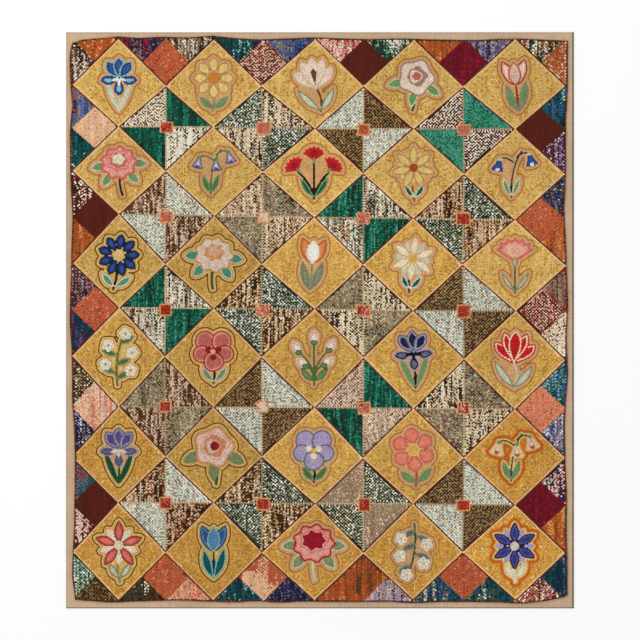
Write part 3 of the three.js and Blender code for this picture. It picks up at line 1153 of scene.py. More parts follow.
class Halo(Enum):
    """The yarns of the rows that echo a flower, from the flower out."""

    TAN = ("halo", "halo", "echo", "gold")
    BROWN = ("gold", "straw", "brown_line", "gold")
    ORANGE = ("straw", "orange", "rust_orange", "orange")


#: The halos that are not tan, by the column and row of their diamonds.
HALOS: dict[tuple[int, int], Halo] = {
    **{(column, row): Halo.BROWN for row in range(2, ROWS) for column in (0, 1)},
    (4, 4): Halo.ORANGE, (4, 5): Halo.ORANGE,
}
#: The golden dye lots, in the order in which the worker used them up from the top row down.
LOTS: tuple[str, ...] = ("pale ground", "golden ground", "amber ground")


@dataclass(frozen=True)
class GoldenDye:
    """The golden grounds: a dye lot lasts `lot_rows` rows of diamonds, but strays by chance.

    Each batch is a little lighter or darker, `spread` in all, and the beds with brown halos took
    a batch that came out `dark` of the usual.
    """

    lot_rows: float = 2.0
    stray: float = 2.0
    spread: float = 0.06
    dark: float = 0.95
    curve: float = 2.2

    @staticmethod
    def _chance(column: int, row: int, seed: int) -> float:
        """Draw a number from -0.5 to 0.5 for one diamond."""
        return float(hash01(np.array(column), np.array(row), SEED + seed)) - 0.5

    def lot(self, column: int, row: int) -> str:
        """Name the mix of yarns of one diamond's ground."""
        number = (row + self._chance(column, row, 91) * self.stray) // self.lot_rows
        return LOTS[int(np.clip(number, 0, len(LOTS) - 1))]

    def strength(self, column: int, row: int) -> float:
        """Give how strongly the dye of one diamond's ground took."""
        usual = self.dark if HALOS.get((column, row)) is Halo.BROWN else 1.0
        return (usual * (1 + self._chance(column, row, 92) * self.spread)) ** self.curve


# ---------------- hooking


@dataclass
class Hooking:
    """The worker's hook: it lays rows of loops where there is still bare foundation.

    A line of hooking has its rows `row` apart and its loops `loop` apart, and a filled ground
    `fill_row` and `fill_loop`. A loop keeps `clear` from other rows, or `fill_clear` in a ground,
    whose rows wander sideways, start early or late, and jitter from loop to loop. `laid` holds the
    places, fixed yarns and odd marks of the loops so far, row by row.
    """

    outline: Points
    row: float = 4.2
    loop: float = 4.2
    fill_row: float = 5.2
    fill_loop: float = 5.0
    clear: float = 3.0
    fill_clear: float = 3.5
    wander: float = 0.7
    wave: float = 60.0
    phase: float = 0.35
    start: float = 3.0
    start_cell: tuple[float, float] = (60.0, 220.0)
    jitter: tuple[float, float] = (1.0, 1.2)
    midfield: tuple[float, float] = (740, 850)
    spare: int = 40
    rim: int = 12
    laid: list[tuple[Points, Points, Points]] = field(default_factory=list)
    inner: dict[float, Points] = field(default_factory=dict)

    def __post_init__(self) -> None:
        """Lay out the empty foundation, one cell to a millimetre."""
        self.corner = np.floor(self.outline.min(axis=0)) - self.spare
        size = np.ceil(self.outline.max(axis=0) - self.corner).astype(int) + self.spare
        self.taken = np.zeros(tuple(size), bool)

    def _cells(self, points: Points) -> tuple[Points, Points]:
        """Give the column and row of the cell of each point."""
        last = np.array(self.taken.shape) - 1 - self.rim
        return tuple(np.clip(np.round(points - self.corner).astype(int), self.rim, last).T)

    def _stamp(self, points: Points, radius: float) -> None:
        """Mark the foundation round each point as taken.

        Args:
            points: loop centres.
            radius: how far round each.
        """
        (column, row), reach = self._cells(points), math.ceil(radius)
        for dx in range(-reach, reach + 1):
            for dy in range(-reach, reach + 1):
                if dx * dx + dy * dy <= radius * radius:
                    self.taken[column + dx, row + dy] = True

    def lay(self, points: Points, yarns: int | Points = -1, edge: bool = False, room: float = 0.0) -> None:
        """Hook a row of loops wherever it finds bare foundation.

        Args:
            points: loop centres.
            yarns: yarn number of each loop, or -1 to take the patch's mix.
            edge: True for the row along the field's own edge.
            room: distance that later rows keep from it, where that is more than the usual.
        """
        free = ~self.taken[self._cells(points)]
        if not edge:
            free &= self.within(points, self.row * 1.5)
        numbers, odd = np.broadcast_to(yarns, len(points)), np.arange(len(points)) % 2
        self.laid.append((points[free], numbers[free], odd[free]))
        self._stamp(points[free], max(self.clear, room))

    def within(self, points: Points, margin: float) -> Points:
        """Tell which points lie inside the field, at least a margin from its edge.

        Args:
            points: places to test.
            margin: least distance from the edge.

        Returns:
            True for each point that does.
        """
        if margin not in self.inner:
            self.inner[margin] = offset_line(resampled(self.outline, 9.0, True), -margin)
        found = (np.abs(points) < self.midfield).all(axis=1)
        found[~found] = inside(points[~found], self.inner[margin])
        return found

    def line(self, start: Points, end: Points, yarn: int = -1, shift: float = 0.0, room: float = 0.0) -> None:
        """Hook one straight row.

        Args:
            start: where it starts.
            end: where it ends.
            yarn: yarn number, or -1 to take the patch's mix.
            shift: distance to the left of the straight way.
            room: distance that later rows keep from it, where that is more than the usual.
        """
        along = (end - start) / np.linalg.norm(end - start)
        across = np.array([-along[1], along[0]]) * shift
        self.lay(resampled(np.array([start, end]) + across, self.loop), yarn, room=room)

    def fill(self) -> None:
        """Fill what is still bare with upright rows."""
        pitch = np.array([self.fill_row, self.fill_loop])
        low = np.floor(self.outline.min(axis=0) / pitch)
        high = np.ceil(self.outline.max(axis=0) / pitch) + 1
        numbers = np.meshgrid(*(np.arange(*span) for span in zip(low, high)), indexing="ij")
        column, step = (grid.ravel() for grid in numbers)
        x, y = column * self.fill_row, step * self.fill_loop
        start = (soft_noise(np.column_stack([x, y]), *self.start_cell, SEED) - 0.5) * self.start
        x = x + self.wander * np.sin(y / self.wave + column * self.phase)
        x = x + (hash01(column, step, SEED + 1) - 0.5) * self.jitter[0]
        y = y + start + (hash01(column, step, SEED + 2) - 0.5) * self.jitter[1]
        points = np.column_stack([x, y])
        self._stamp(np.vstack([places for places, _, _ in self.laid]), self.fill_clear)
        free = ~self.taken[self._cells(points)] & self.within(points, self.row + self.fill_clear)
        self.laid.append((points[free], np.full(len(points), -1)[free], ((column + step) % 2)[free]))

    def loops(self) -> tuple[Points, Points, Points]:
        """Give every loop but those that crowd another.

        Returns:
            The loop centres, the fixed yarn or -1 of each, and 1 for every other loop of a row.
        """
        points, fixed, odd = (np.concatenate(part) for part in zip(*self.laid))
        for shift in (0.0, 0.5):
            cells = np.floor(points / (self.clear * 0.7) + shift)
            first = np.sort(np.unique(cells, axis=0, return_index=True)[1])
            points, fixed, odd = points[first], fixed[first], odd[first]
        return points, fixed, odd


@dataclass
class Bed:
    """One diamond: its flower, the halo of rows that echo the flower, and the ground behind.

    The first rows of the halo, `closing` in all, fill the gaps of the flower, and the others follow
    its closed silhouette.
    """

    corners: Points
    kind: Flower
    halo: tuple[str, ...]
    ground: Mix
    row: float
    closing: int = 2
    grid: float = 4.0
    near: float = 40.0

    def __post_init__(self) -> None:
        """Set the flower in its place, and trace one closed line round it."""
        self.shapes = self.kind.fitted(self.corners)
        self.closed = self.closing * self.row
        (lines,) = self._traced(self.distance, [self.closed])
        self.silhouette = anticlockwise(max(lines, key=len))

    def _traced(self, measure: Callable[[Points], Points], levels: list[float]) -> list[list[Points]]:
        """Trace the lines on which a measure has each of several levels.

        Args:
            measure: gives one value for each of many points.
            levels: the levels.

        Returns:
            The lines at each level.
        """
        low, high = self.corners.min(axis=0), self.corners.max(axis=0)
        xs, ys = np.arange(low[0], high[0], self.grid), np.arange(low[1], high[1], self.grid)
        gx, gy = np.meshgrid(xs, ys)
        values = measure(np.column_stack([gx.ravel(), gy.ravel()])).reshape(gx.shape)
        return [level_lines(values, level, xs, ys) for level in levels]

    def distance(self, points: Points) -> Points:
        """Measure how far points are from the nearest shape of the flower, negative inside one.

        Args:
            points: places to measure.

        Returns:
            The distances, each a large one where it is not near.
        """
        nearest = np.full(len(points), 1e3)
        for one in self.shapes:
            near = boxed(points, one.outline, self.near)
            nearest[near] = np.minimum(nearest[near], signed_distance(points[near], one.outline))
        return nearest

    def away(self, points: Points) -> Points:
        """Measure how far points are from the flower, with the gaps between its stems closed."""
        out = signed_distance(points, self.silhouette)
        return np.where(out < 0, np.minimum(self.distance(points), self.closed - 0.1), out + self.closed)

    def hook(self, hooking: Hooking) -> None:
        """Hook the rows that follow the flower's shapes, then the rows that echo it.

        Args:
            hooking: the hooking so far.
        """
        for index in reversed(range(len(self.shapes))):
            one = self.shapes[index]
            edge = resampled(one.outline, hooking.loop, True)
            for depth in range(min(2, len(one.tones))):
                inset = (depth + 0.5) * hooking.row
                points = offset_line(edge, -inset)
                points = points[signed_distance(points, one.outline) < -inset * 0.72]
                for over in self.shapes[index + 1:]:
                    points = points[~inside(points, over.outline)]
                hooking.lay(points)
        levels = [(number + 0.5) * hooking.row for number in range(len(self.halo))]
        for name, lines in zip(self.halo, self._traced(self.away, levels)):
            for line in lines:
                points = resampled(line, hooking.loop)
                points = points[signed_distance(points, self.corners) < -hooking.row * 1.45]
                hooking.lay(points, YARN_NUMBER[name])

    def yarns(self, loops: Loops, seed: int) -> Points:
        """Settle the yarns of the loops in the diamond.

        Args:
            loops: the loops.
            seed: number of the diamond's draws.

        Returns:
            The yarns' numbers, a row for each ply.
        """
        numbers, away = self.ground.choose(loops, seed), self.away(loops.at)
        for number, name in enumerate(self.halo):
            numbers[:, (away >= number * self.row) & (away < (number + 1) * self.row)] = YARN_NUMBER[name]
        for one in self.shapes:
            near = boxed(loops.at, one.outline)
            depth = -signed_distance(loops.at[near], one.outline)
            deep = depth >= 0
            tone = np.minimum((depth[deep] / self.row).astype(int), len(one.tones) - 1)
            numbers[:, near[deep]] = np.array([YARN_NUMBER[name] for name in one.tones])[tone]
        return numbers


@dataclass
class Design:
    """The whole pattern as rows of loops with their yarns."""

    lattice: Lattice
    hooking: Hooking
    square_stray: tuple[float, float] = (5, 4)
    dye: GoldenDye = GoldenDye()

    def __post_init__(self) -> None:
        """Draw the patches, the diamonds and their flowers."""
        self.patches = self.lattice.patches()
        self.beds: dict[tuple[int, int], Bed] = {}
        for row, flowers in enumerate(FLOWERS):
            for column, flower in enumerate(flowers):
                halo = HALOS.get((column, row), Halo.TAN).value
                ground = MIXES[self.dye.lot(column, row)]
                corners = self.lattice.diamond(column, row)
                self.beds[column, row] = Bed(corners, flower, halo, ground, self.hooking.row)

    def hook(self) -> None:
        """Hook the lines first, then the flowers, then fill every ground."""
        self._edge_row()
        self._squares()
        self._diamond_lines()
        self._seams()
        for bed in self.beds.values():
            bed.hook(self.hooking)
        self.hooking.fill()

    def _edge_row(self) -> None:
        """Hook the dark row along the edge of the field."""
        h = self.hooking
        points = offset_line(resampled(h.outline, h.loop, True), -h.row / 2)
        steps = np.arange(len(points))
        loops = Loops(np.column_stack([steps * 0.0, steps * h.loop]), steps * 0, steps, steps % 2)
        h.lay(points, MIXES["edge row"].choose(loops, SEED + 3)[0], edge=True)

    def _squares(self) -> None:
        """Hook the small square in the middle of each pinwheel, rim first."""
        h = self.hooking
        for row, wheels in enumerate(PINWHEELS):
            for column, wheel in enumerate(wheels):
                chance = hash01(np.arange(4), np.full(4, 4 * row + column), SEED + 9) - 0.5
                middle = self.lattice.pinwheel(column, row).mean(axis=0) + chance[:2] * self.square_stray[0]
                half = np.array(self.lattice.square) / 2 + chance[2:] * self.square_stray[1] - h.row / 2
                corners = np.array([[-1, -1], [1, -1], [1, 1], [-1, 1]]) * half + middle
                h.lay(resampled(corners, h.loop, True), YARN_NUMBER["apricot"])
                count = ((half - h.row * 0.5) / h.row).astype(int)
                across, along = (np.arange(-number, number + 1) for number in count)
                x, y = (grid.ravel() for grid in np.meshgrid(across * h.row, along * h.loop))
                points = np.column_stack([x, y]) + middle
                loops = Loops(points, np.round(x), np.round(y), np.arange(len(x)) % 2)
                h.lay(points, MIXES[wheel[-1]].choose(loops, SEED + 7 * row + column)[0])

    def _diamond_lines(self) -> None:
        """Hook a pale row just inside every diamond and a dark row just outside it."""
        h = self.hooking
        sides = [side for bed in self.beds.values() for side in edges(bed.corners)]
        for start, end in sides:
            cut = (end - start) / np.linalg.norm(end - start) * h.row * 0.6
            h.line(start + cut, end - cut, YARN_NUMBER["pale_line"], h.row / 2)
        for start, end in sides:
            h.line(start, end, YARN_NUMBER["outline"], -h.row * 0.48, h.row * 0.8)

    def _seams(self) -> None:
        """Hook the pale seams of each pinwheel, then the seams between patches along the edges."""
        h = self.hooking
        for row in range(ROWS - 1):
            for column in range(COLUMNS - 1):
                top, left, bottom, right = self.lattice.pinwheel(column, row)
                seam = YARN_NUMBER["tan_seam" if (row + column) % 2 else "pale_seam"]
                for start, end in ((top, bottom), (left, right)):
                    for yarn, shift in ((seam, 0.0), (-1, h.row), (-1, -h.row)):
                        h.line(start, end, yarn, shift)
        for patch in self.patches:
            if patch.pile is Pile.BORDER:
                for start, end in edges(anticlockwise(patch.outline)):
                    h.line(start, end, shift=h.row / 2)

    def dyed(self, points: Points, fixed: Points, odd: Points) -> tuple[Points, Points, Points]:
        """Settle the yarns, the piece and the strength of dye of every loop.

        Args:
            points: loop centres.
            fixed: yarns already settled, or -1.
            odd: 1 for every other loop.

        Returns:
            The yarns' numbers with a row for each ply, the number of each loop's piece, and a
            number about 1 that its colour is scaled with.
        """
        row, step = np.round(points / [self.hooking.fill_row, self.hooking.fill_loop]).T
        loops = Loops(points, row, step, odd)
        numbers = MIXES["edge row"].choose(loops, SEED)
        piece, strength = np.full(len(points), PILES.index(Pile.BORDER)), np.ones(len(points))
        for index, patch in enumerate(self.patches):
            here, mix = lying(points, patch.outline), MIXES[patch.mix]
            numbers[:, here] = mix.choose(loops.some(here), SEED + 31 * index)
            strength[here] = mix.strength(points[here], SEED + 61 + index)
            piece[here] = PILES.index(patch.pile)
        for (column, row), bed in self.beds.items():
            here = lying(points, bed.corners)
            numbers[:, here] = bed.yarns(loops.some(here), SEED + 977 + column * 13 + row)
            strength[here] = self.dye.strength(column, row)
            piece[here] = row // 2
        return np.where(fixed >= 0, fixed, numbers), piece, strength


# ---------------- node trees


@dataclass
class Value:
    """A node's output with arithmetic: each operator adds the Math node that it needs."""

    nodes: "Nodes"
    socket: Any

    def _math(self, operation: str, *terms: Any) -> "Value":
        """Add one Math node on the given terms."""
        return self.nodes.value("ShaderNodeMath", {"operation": operation}, dict(enumerate(terms)))

    def __add__(self, other: Any) -> "Value":
        """Add."""
        return self._math("ADD", self, other)

    def __mul__(self, other: Any) -> "Value":
        """Multiply."""
        return self._math("MULTIPLY", self, other)

    def __sub__(self, other: Any) -> "Value":
        """Subtract."""
        return self._math("SUBTRACT", self, other)

    def __rsub__(self, other: Any) -> "Value":
        """Subtract from a number."""
        return self._math("SUBTRACT", other, self)

    def __lt__(self, other: Any) -> "Value":
        """Give 1 where this is less."""
        return self._math("LESS_THAN", self, other)

    def __gt__(self, other: Any) -> "Value":
        """Give 1 where this is more."""
        return self._math("GREATER_THAN", self, other)

    __radd__ = __add__
    __rmul__ = __mul__

    def wave(self) -> "Value":
        """Give the size of its sine, from 0 to 1."""
        return self._math("ABSOLUTE", self._math("SINE", self))

    def spread(self, low: float, high: float, to_low: float = 0.0, to_high: float = 1.0) -> "Value":
        """Map a range smoothly onto another, holding the ends.

        Args:
            low: value that becomes to_low.
            high: value that becomes to_high.
            to_low: result at the low end.
            to_high: result at the high end.

        Returns:
            The mapped value.
        """
        sockets = {0: self, 1: low, 2: high, 3: to_low, 4: to_high}
        return self.nodes.value("ShaderNodeMapRange", {"interpolation_type": "SMOOTHSTEP"}, sockets)


@dataclass
class Nodes:
    """A writer of node trees, for materials and for Geometry Nodes alike."""

    tree: Any

    def add(self, kind: str, settings: Optional[dict] = None, sockets: Optional[dict] = None) -> Any:
        """Add one node.

        Args:
            kind: the node's type.
            settings: its own settings, set before its sockets.
            sockets: values or links of its inputs, by name or number.

        Returns:
            The new node.
        """
        node = self.tree.nodes.new(kind)
        for name, value in (settings or {}).items():
            setattr(node, name, value)
        for key, value in (sockets or {}).items():
            if isinstance(value, Value):
                self.tree.links.new(value.socket, node.inputs[key])
            else:
                node.inputs[key].default_value = value
        return node

    def value(
        self, kind: str, settings: Optional[dict] = None, sockets: Optional[dict] = None, output: Any = 0
    ) -> Value:
        """Add one node and give one of its outputs."""
        return Value(self, self.add(kind, settings, sockets).outputs[output])


@dataclass
class PileTree:
    """Geometry Nodes that raise one dome of wool over each loop centre of a net.

    The net joins neighbouring loop centres. Its dual gives each loop its own cell of foundation,
    and each cell is drawn up to a point over its middle. An edge under the height `fold` is a
    crease between loops.
    """

    name: str = "hooked_pile"
    weld: float = 0.0001
    fold: float = 0.25
    inputs: dict[str, str] = field(default_factory=dict)

    def __post_init__(self) -> None:
        """Build the tree once."""
        self.tree = bpy.data.node_groups.new(self.name, "GeometryNodeTree")
        self._socket("Net", "INPUT", "NodeSocketGeometry")
        self._socket("Pile", "OUTPUT", "NodeSocketGeometry")
        for name, kind in (("Rise", "Float"), ("Weld", "Float"), ("Fold", "Float"), ("Wool", "Material")):
            self._socket(name, "INPUT", f"NodeSocket{kind}")
        n = Nodes(self.tree)
        given = n.add("NodeGroupInput")
        put = {socket.name: Value(n, socket) for socket in given.outputs if socket.name}
        cells = n.value("GeometryNodeDualMesh", None, {"Mesh": put["Net"], "Keep Boundaries": False})
        others = {"Geometry": cells, "Selection": self._read(n, "own", "FLOAT") < 0.5}
        kept = n.value("GeometryNodeDeleteGeometry", {"domain": "FACE", "mode": "ALL"}, others)
        up = n.value("ShaderNodeCombineXYZ", None, {"Z": 1.0})
        lift = {"Mesh": kept, "Offset": up, "Offset Scale": put["Rise"], "Individual": True}
        drawn = n.add("GeometryNodeExtrudeMesh", {"mode": "FACES"}, lift)
        mesh, top = (Value(n, drawn.outputs[name]) for name in ("Mesh", "Top"))
        point = {"Geometry": mesh, "Selection": top, "Scale": 0.0}
        peaked = n.value("GeometryNodeScaleElements", {"domain": "FACE"}, point)
        height = n.value("ShaderNodeSeparateXYZ", None, {0: n.value("GeometryNodeInputPosition")}, "Z")
        marked = self._store(n, peaked, "crown", "FLOAT", "POINT", height)
        weld = {"Geometry": marked, "Distance": put["Weld"]}
        coloured = n.value("GeometryNodeMergeByDistance", None, weld)
        for ply in ("yarn", "ply"):
            colour = self._read(n, ply, "FLOAT_COLOR")
            coloured = self._store(n, coloured, ply, "FLOAT_COLOR", "CORNER", colour)
        soft = n.value("GeometryNodeSetShadeSmooth", {"domain": "FACE"}, {0: coloured, "Shade Smooth": True})
        creased = self._read(n, "crown", "FLOAT") < put["Fold"]
        crease = {0: soft, "Selection": creased, "Shade Smooth": False}
        parted = n.value("GeometryNodeSetShadeSmooth", {"domain": "EDGE"}, crease)
        real = n.value("GeometryNodeRealizeInstances", None, {"Geometry": parted})
        done = n.value("GeometryNodeSetMaterial", None, {"Geometry": real, "Material": put["Wool"]})
        n.add("NodeGroupOutput", None, {"Pile": done})

    def _socket(self, name: str, way: str, kind: str) -> None:
        """Add a named input or output to the tree's face and keep its identifier."""
        made = self.tree.interface.new_socket(name=name, in_out=way, socket_type=kind)
        self.inputs[name] = made.identifier

    @staticmethod
    def _read(n: Nodes, name: str, kind: str) -> Value:
        """Read a named attribute."""
        return n.value("GeometryNodeInputNamedAttribute", {"data_type": kind}, {"Name": name})

    @staticmethod
    def _store(n: Nodes, mesh: Value, name: str, kind: str, domain: str, value: Value) -> Value:
        """Store a named attribute."""
        sockets = {"Geometry": mesh, "Name": name, "Value": value}
        return n.value("GeometryNodeStoreNamedAttribute", {"data_type": kind, "domain": domain}, sockets)

    def raised(self, net: bpy.types.Object, wool: bpy.types.Material) -> bpy.types.Mesh:
        """Run the tree on a net and give the pile as a plain mesh.

        Args:
            net: object whose mesh joins the loop centres.
            wool: material of the pile.

        Returns:
            The pile, valleys at height 0 and crowns at height 1.
        """
        modifier = net.modifiers.new(self.name, "NODES")
        modifier.node_group = self.tree
        for name, value in (("Rise", 1.0), ("Weld", self.weld), ("Fold", self.fold), ("Wool", wool)):
            modifier[self.inputs[name]] = value
        graph = bpy.context.evaluated_depsgraph_get()
        result = net.evaluated_get(graph)
        mesh = bpy.data.meshes.new_from_object(result, preserve_all_data_layers=True, depsgraph=graph)
        net.modifiers.remove(modifier)
        return mesh


# ---------------- finishes


class Finish:
    """A procedural finish: one material, written as expressions."""

    name = "finish"

    def material(self) -> bpy.types.Material:
        """Give the material, making it the first time.

        Returns:
            The material.
        """
        found = bpy.data.materials.get(self.name)
        if found:
            return found
        made = bpy.data.materials.new(self.name)
        made.use_nodes = True
        made.node_tree.nodes.clear()
        nodes = Nodes(made.node_tree)
        shader = nodes.add("ShaderNodeBsdfPrincipled")
        nodes.add("ShaderNodeOutputMaterial", None, {"Surface": Value(nodes, shader.outputs[0])})
        self.dress(nodes, shader)
        return made

    def dress(self, nodes: Nodes, shader: Any) -> None:
        """Set the shader's sockets."""
        raise NotImplementedError

    @staticmethod
    def wire(nodes: Nodes, shader: Any, **inputs: Value) -> None:
        """Join values to the shader's sockets, with _ for the space in a socket's name."""
        for name, value in inputs.items():
            nodes.tree.links.new(value.socket, shader.inputs[name.replace("_", " ")])

    @staticmethod
    def hold(shader: Any, **inputs: Any) -> None:
        """Set constants on the shader's sockets, with _ for the space in a socket's name."""
        for name, value in inputs.items():
            shader.inputs[name.replace("_", " ")].default_value = value

    @staticmethod
    def bump(nodes: Nodes, height: Value, strength: float, distance: float) -> Value:
        """Raise the surface by a height."""
        sockets = {"Height": height, "Strength": strength, "Distance": distance}
        return nodes.value("ShaderNodeBump", None, sockets)

    @staticmethod
    def noise(nodes: Nodes, stretch: tuple[float, float, float], scale: float, detail: float = 2.0) -> Value:
        """Give soft noise about one half, by the place on the object.

        Args:
            nodes: writer of the material.
            stretch: how fast the noise runs in each direction.
            scale: how fine it is.
            detail: how rough it is.

        Returns:
            The noise.
        """
        found = nodes.value("ShaderNodeTexCoord", None, None, "Object")
        place = nodes.value("ShaderNodeMapping", None, {"Vector": found, "Scale": stretch})
        return nodes.value("ShaderNodeTexNoise", None, {"Vector": place, "Scale": scale, "Detail": detail})

    @staticmethod
    def mixed(nodes: Nodes, blend: str, share: float | Value, first: Any, second: Any) -> Value:
        """Mix or multiply two colours."""
        settings = {"data_type": "RGBA", "blend_type": blend}
        return nodes.value("ShaderNodeMix", settings, {0: share, 6: first, 7: second}, 2)


@dataclass(frozen=True)
class WoolPile(Finish):
    """Hooked wool: each loop in its own dye, with painted shade down between loops, a painted light on the
    crowns and a matt fibrous face.

    `valley_shade` is the tone of the painted shade down between loops and `crown` the tone of the painted
    light on the crowns; `ply` is the width of one ply of the yarn, and `marl` the length over which one
    ply gives way to the other, in metres.
    """

    name: str = "hooked_wool_pile"
    # painted shade in the valleys and painted light on the crowns
    valley_shade: float = 0.62
    crown: float = 1.04
    ply: float = 0.0011
    marl: float = 0.0029
    fibre: float = 0.16
    rough: tuple[float, float] = (0.86, 0.97)
    relief: tuple[float, float] = (0.5, 0.0006)

    def dress(self, nodes: Nodes, shader: Any) -> None:
        """Set the wool's colour, roughness and fibres.

        Args:
            nodes: writer of the material.
            shader: its shader.
        """
        yarn, ply, crown = (
            nodes.value("ShaderNodeAttribute", {"attribute_name": name}, None, output)
            for name, output in (("yarn", "Color"), ("ply", "Color"), ("crown", "Fac"))
        )
        twist = self.noise(nodes, (1.0, 0.6, 0.4), 1.0 / self.marl, 1.0)
        fibres = self.noise(nodes, (1.0, 1.0, 0.4), 0.6 / self.ply, 3.0)
        plies = self.noise(nodes, (1.0, 0.45, 0.4), 1.0 / self.ply, 1.0)
        yarn = self.mixed(nodes, "MIX", twist.spread(0.475, 0.525), yarn, ply)
        # painted shade and light: darker down in the valleys, a little lighter than the yarn on the crowns
        depth = crown.spread(-0.1, 0.75, self.valley_shade, self.crown)
        tone = depth * ((fibres - 0.5) * self.fibre * 2 + 1.0)
        self.wire(
            nodes, shader, Base_Color=self.mixed(nodes, "MULTIPLY", 1.0, yarn, tone),
            Roughness=fibres.spread(0.3, 0.7, *self.rough),
            Normal=self.bump(nodes, plies * 0.7 + fibres * 0.3, *self.relief),
        )
        self.hold(shader, Specular_IOR_Level=0.06, Sheen_Weight=0.03, Sheen_Roughness=0.6)


@dataclass(frozen=True)
class PlainWeave(Finish):
    """Undyed plain-woven cloth: two sets of slubby threads, soft stains and painted shade along its turned
    edges.

    `edge_shade` holds the tones of the painted shade along the turned edge, at the left and right, and at
    the bottom and top; it is deepest at the right and bottom, the edges turned away from the light. It
    starts, sets in and is full at the three distances of `fold` from the edge, in metres.
    """

    name: str = "undyed_linen"
    light: tuple[float, float, float] = (0.70, 0.50, 0.33)
    dark: tuple[float, float, float] = (0.47, 0.325, 0.205)
    thread: float = 0.0011
    half_width: float = 0.825
    half_length: float = 0.936
    # painted shade along the turned edges: tones at the left and right, then at the bottom and top
    edge_shade: tuple[tuple[float, float], tuple[float, float]] = ((0.75, 0.36), (0.42, 0.85))
    fold: tuple[float, float, float] = (0.0076, 0.0050, 0.0022)
    slub: float = 0.9
    rough: tuple[float, float] = (0.95, 0.82)
    relief: tuple[float, float] = (0.6, 0.0003)

    def dress(self, nodes: Nodes, shader: Any) -> None:
        """Set the cloth's threads, mottling and the painted shade along its turned edges.

        Args:
            nodes: writer of the material.
            shader: its shader.
        """
        turn, (start, middle, end) = math.pi / self.thread, self.fold
        place = nodes.value("ShaderNodeTexCoord", None, None, "Object")
        split = nodes.add("ShaderNodeSeparateXYZ", None, {0: place})
        x, y = (Value(nodes, split.outputs[name]) for name in "XY")
        slubs = [
            (self.noise(nodes, stretch, 0.35 / self.thread) - 0.5) * self.slub
            for stretch in ((1.0, 0.06, 1.0), (0.06, 1.0, 1.0))
        ]
        weave = (x * turn).wave() * (y * turn).wave() + slubs[0] + slubs[1]
        stain = self.noise(nodes, (1.0, 1.0, 1.0), 7.0, 3.0)
        threads = self.mixed(nodes, "MIX", weave.spread(0.0, 0.9), (*self.dark, 1.0), (*self.light, 1.0))
        tone = stain.spread(0.3, 0.7, 0.93, 1.06)
        # painted shade: darker towards each turned edge, most at the right and bottom
        for out, half, edge_shade in ((x, self.half_width, self.edge_shade[0]), (y, self.half_length, self.edge_shade[1])):
            tone = tone * out.spread(half - start, half - middle, 1.0, edge_shade[1])
            tone = tone * (out * -1.0).spread(half - middle, half - end, 1.0, edge_shade[0])
        self.wire(
            nodes, shader, Base_Color=self.mixed(nodes, "MULTIPLY", 1.0, threads, tone),
            Roughness=weave.spread(0.0, 1.0, *self.rough), Normal=self.bump(nodes, weave, *self.relief),
        )
        self.hold(shader, Specular_IOR_Level=0.25)


@dataclass(frozen=True)
class PaleFloor(Finish):
    """Matt white studio paper."""

    name: str = "studio_paper"

    def dress(self, nodes: Nodes, shader: Any) -> None:
        """Set a plain matt white."""
        self.hold(shader, Base_Color=(0.99, 0.99, 0.99, 1.0), Roughness=0.95, Specular_IOR_Level=0.1)


# ---------------- pieces


def placed(name: str, mesh: bpy.types.Mesh, node: str) -> bpy.types.Object:
    """Put a finished mesh in the scene as a piece of the rug.

    Args:
        name: name of the piece.
        mesh: its mesh, in metres, in place.
        node: solid of the frame that it stands for.

    Returns:
        The piece.
    """
    mesh.name = name
    piece = bpy.data.objects.new(name, mesh)
    bpy.context.scene.collection.objects.link(piece)
    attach(piece, "root")
    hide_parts(node)
    triangles = len(mesh.loops) - 2 * len(mesh.polygons)
    log.info("%s: %d vertices, %d triangles", name, len(mesh.vertices), triangles)
    return piece


def read(data: Any, name: str, width: int = 1) -> Points:
    """Read one number, or a row of them, from each part of a mesh.

    Args:
        data: the mesh's vertices, or the like.
        name: name of what is read.
        width: how many numbers each has.

    Returns:
        The numbers.
    """
    found = np.empty(len(data) * width)
    data.foreach_get(name, found)
    return found.reshape(-1, width) if width > 1 else found


def flat_map(mesh: bpy.types.Mesh) -> None:
    """Give a mesh a map seen from straight above, filling the unit square.

    Args:
        mesh: mesh to map.
    """
    xy = read(mesh.vertices, "co", 3)[:, :2]
    low, high = xy.min(axis=0), xy.max(axis=0)
    corner = np.empty(len(mesh.loops), np.int32)
    mesh.loops.foreach_get("vertex_index", corner)
    layer = mesh.uv_layers.new(name="OFBake")
    layer.data.foreach_set("uv", ((xy - low) / (high - low) * 0.98 + 0.01)[corner].ravel())


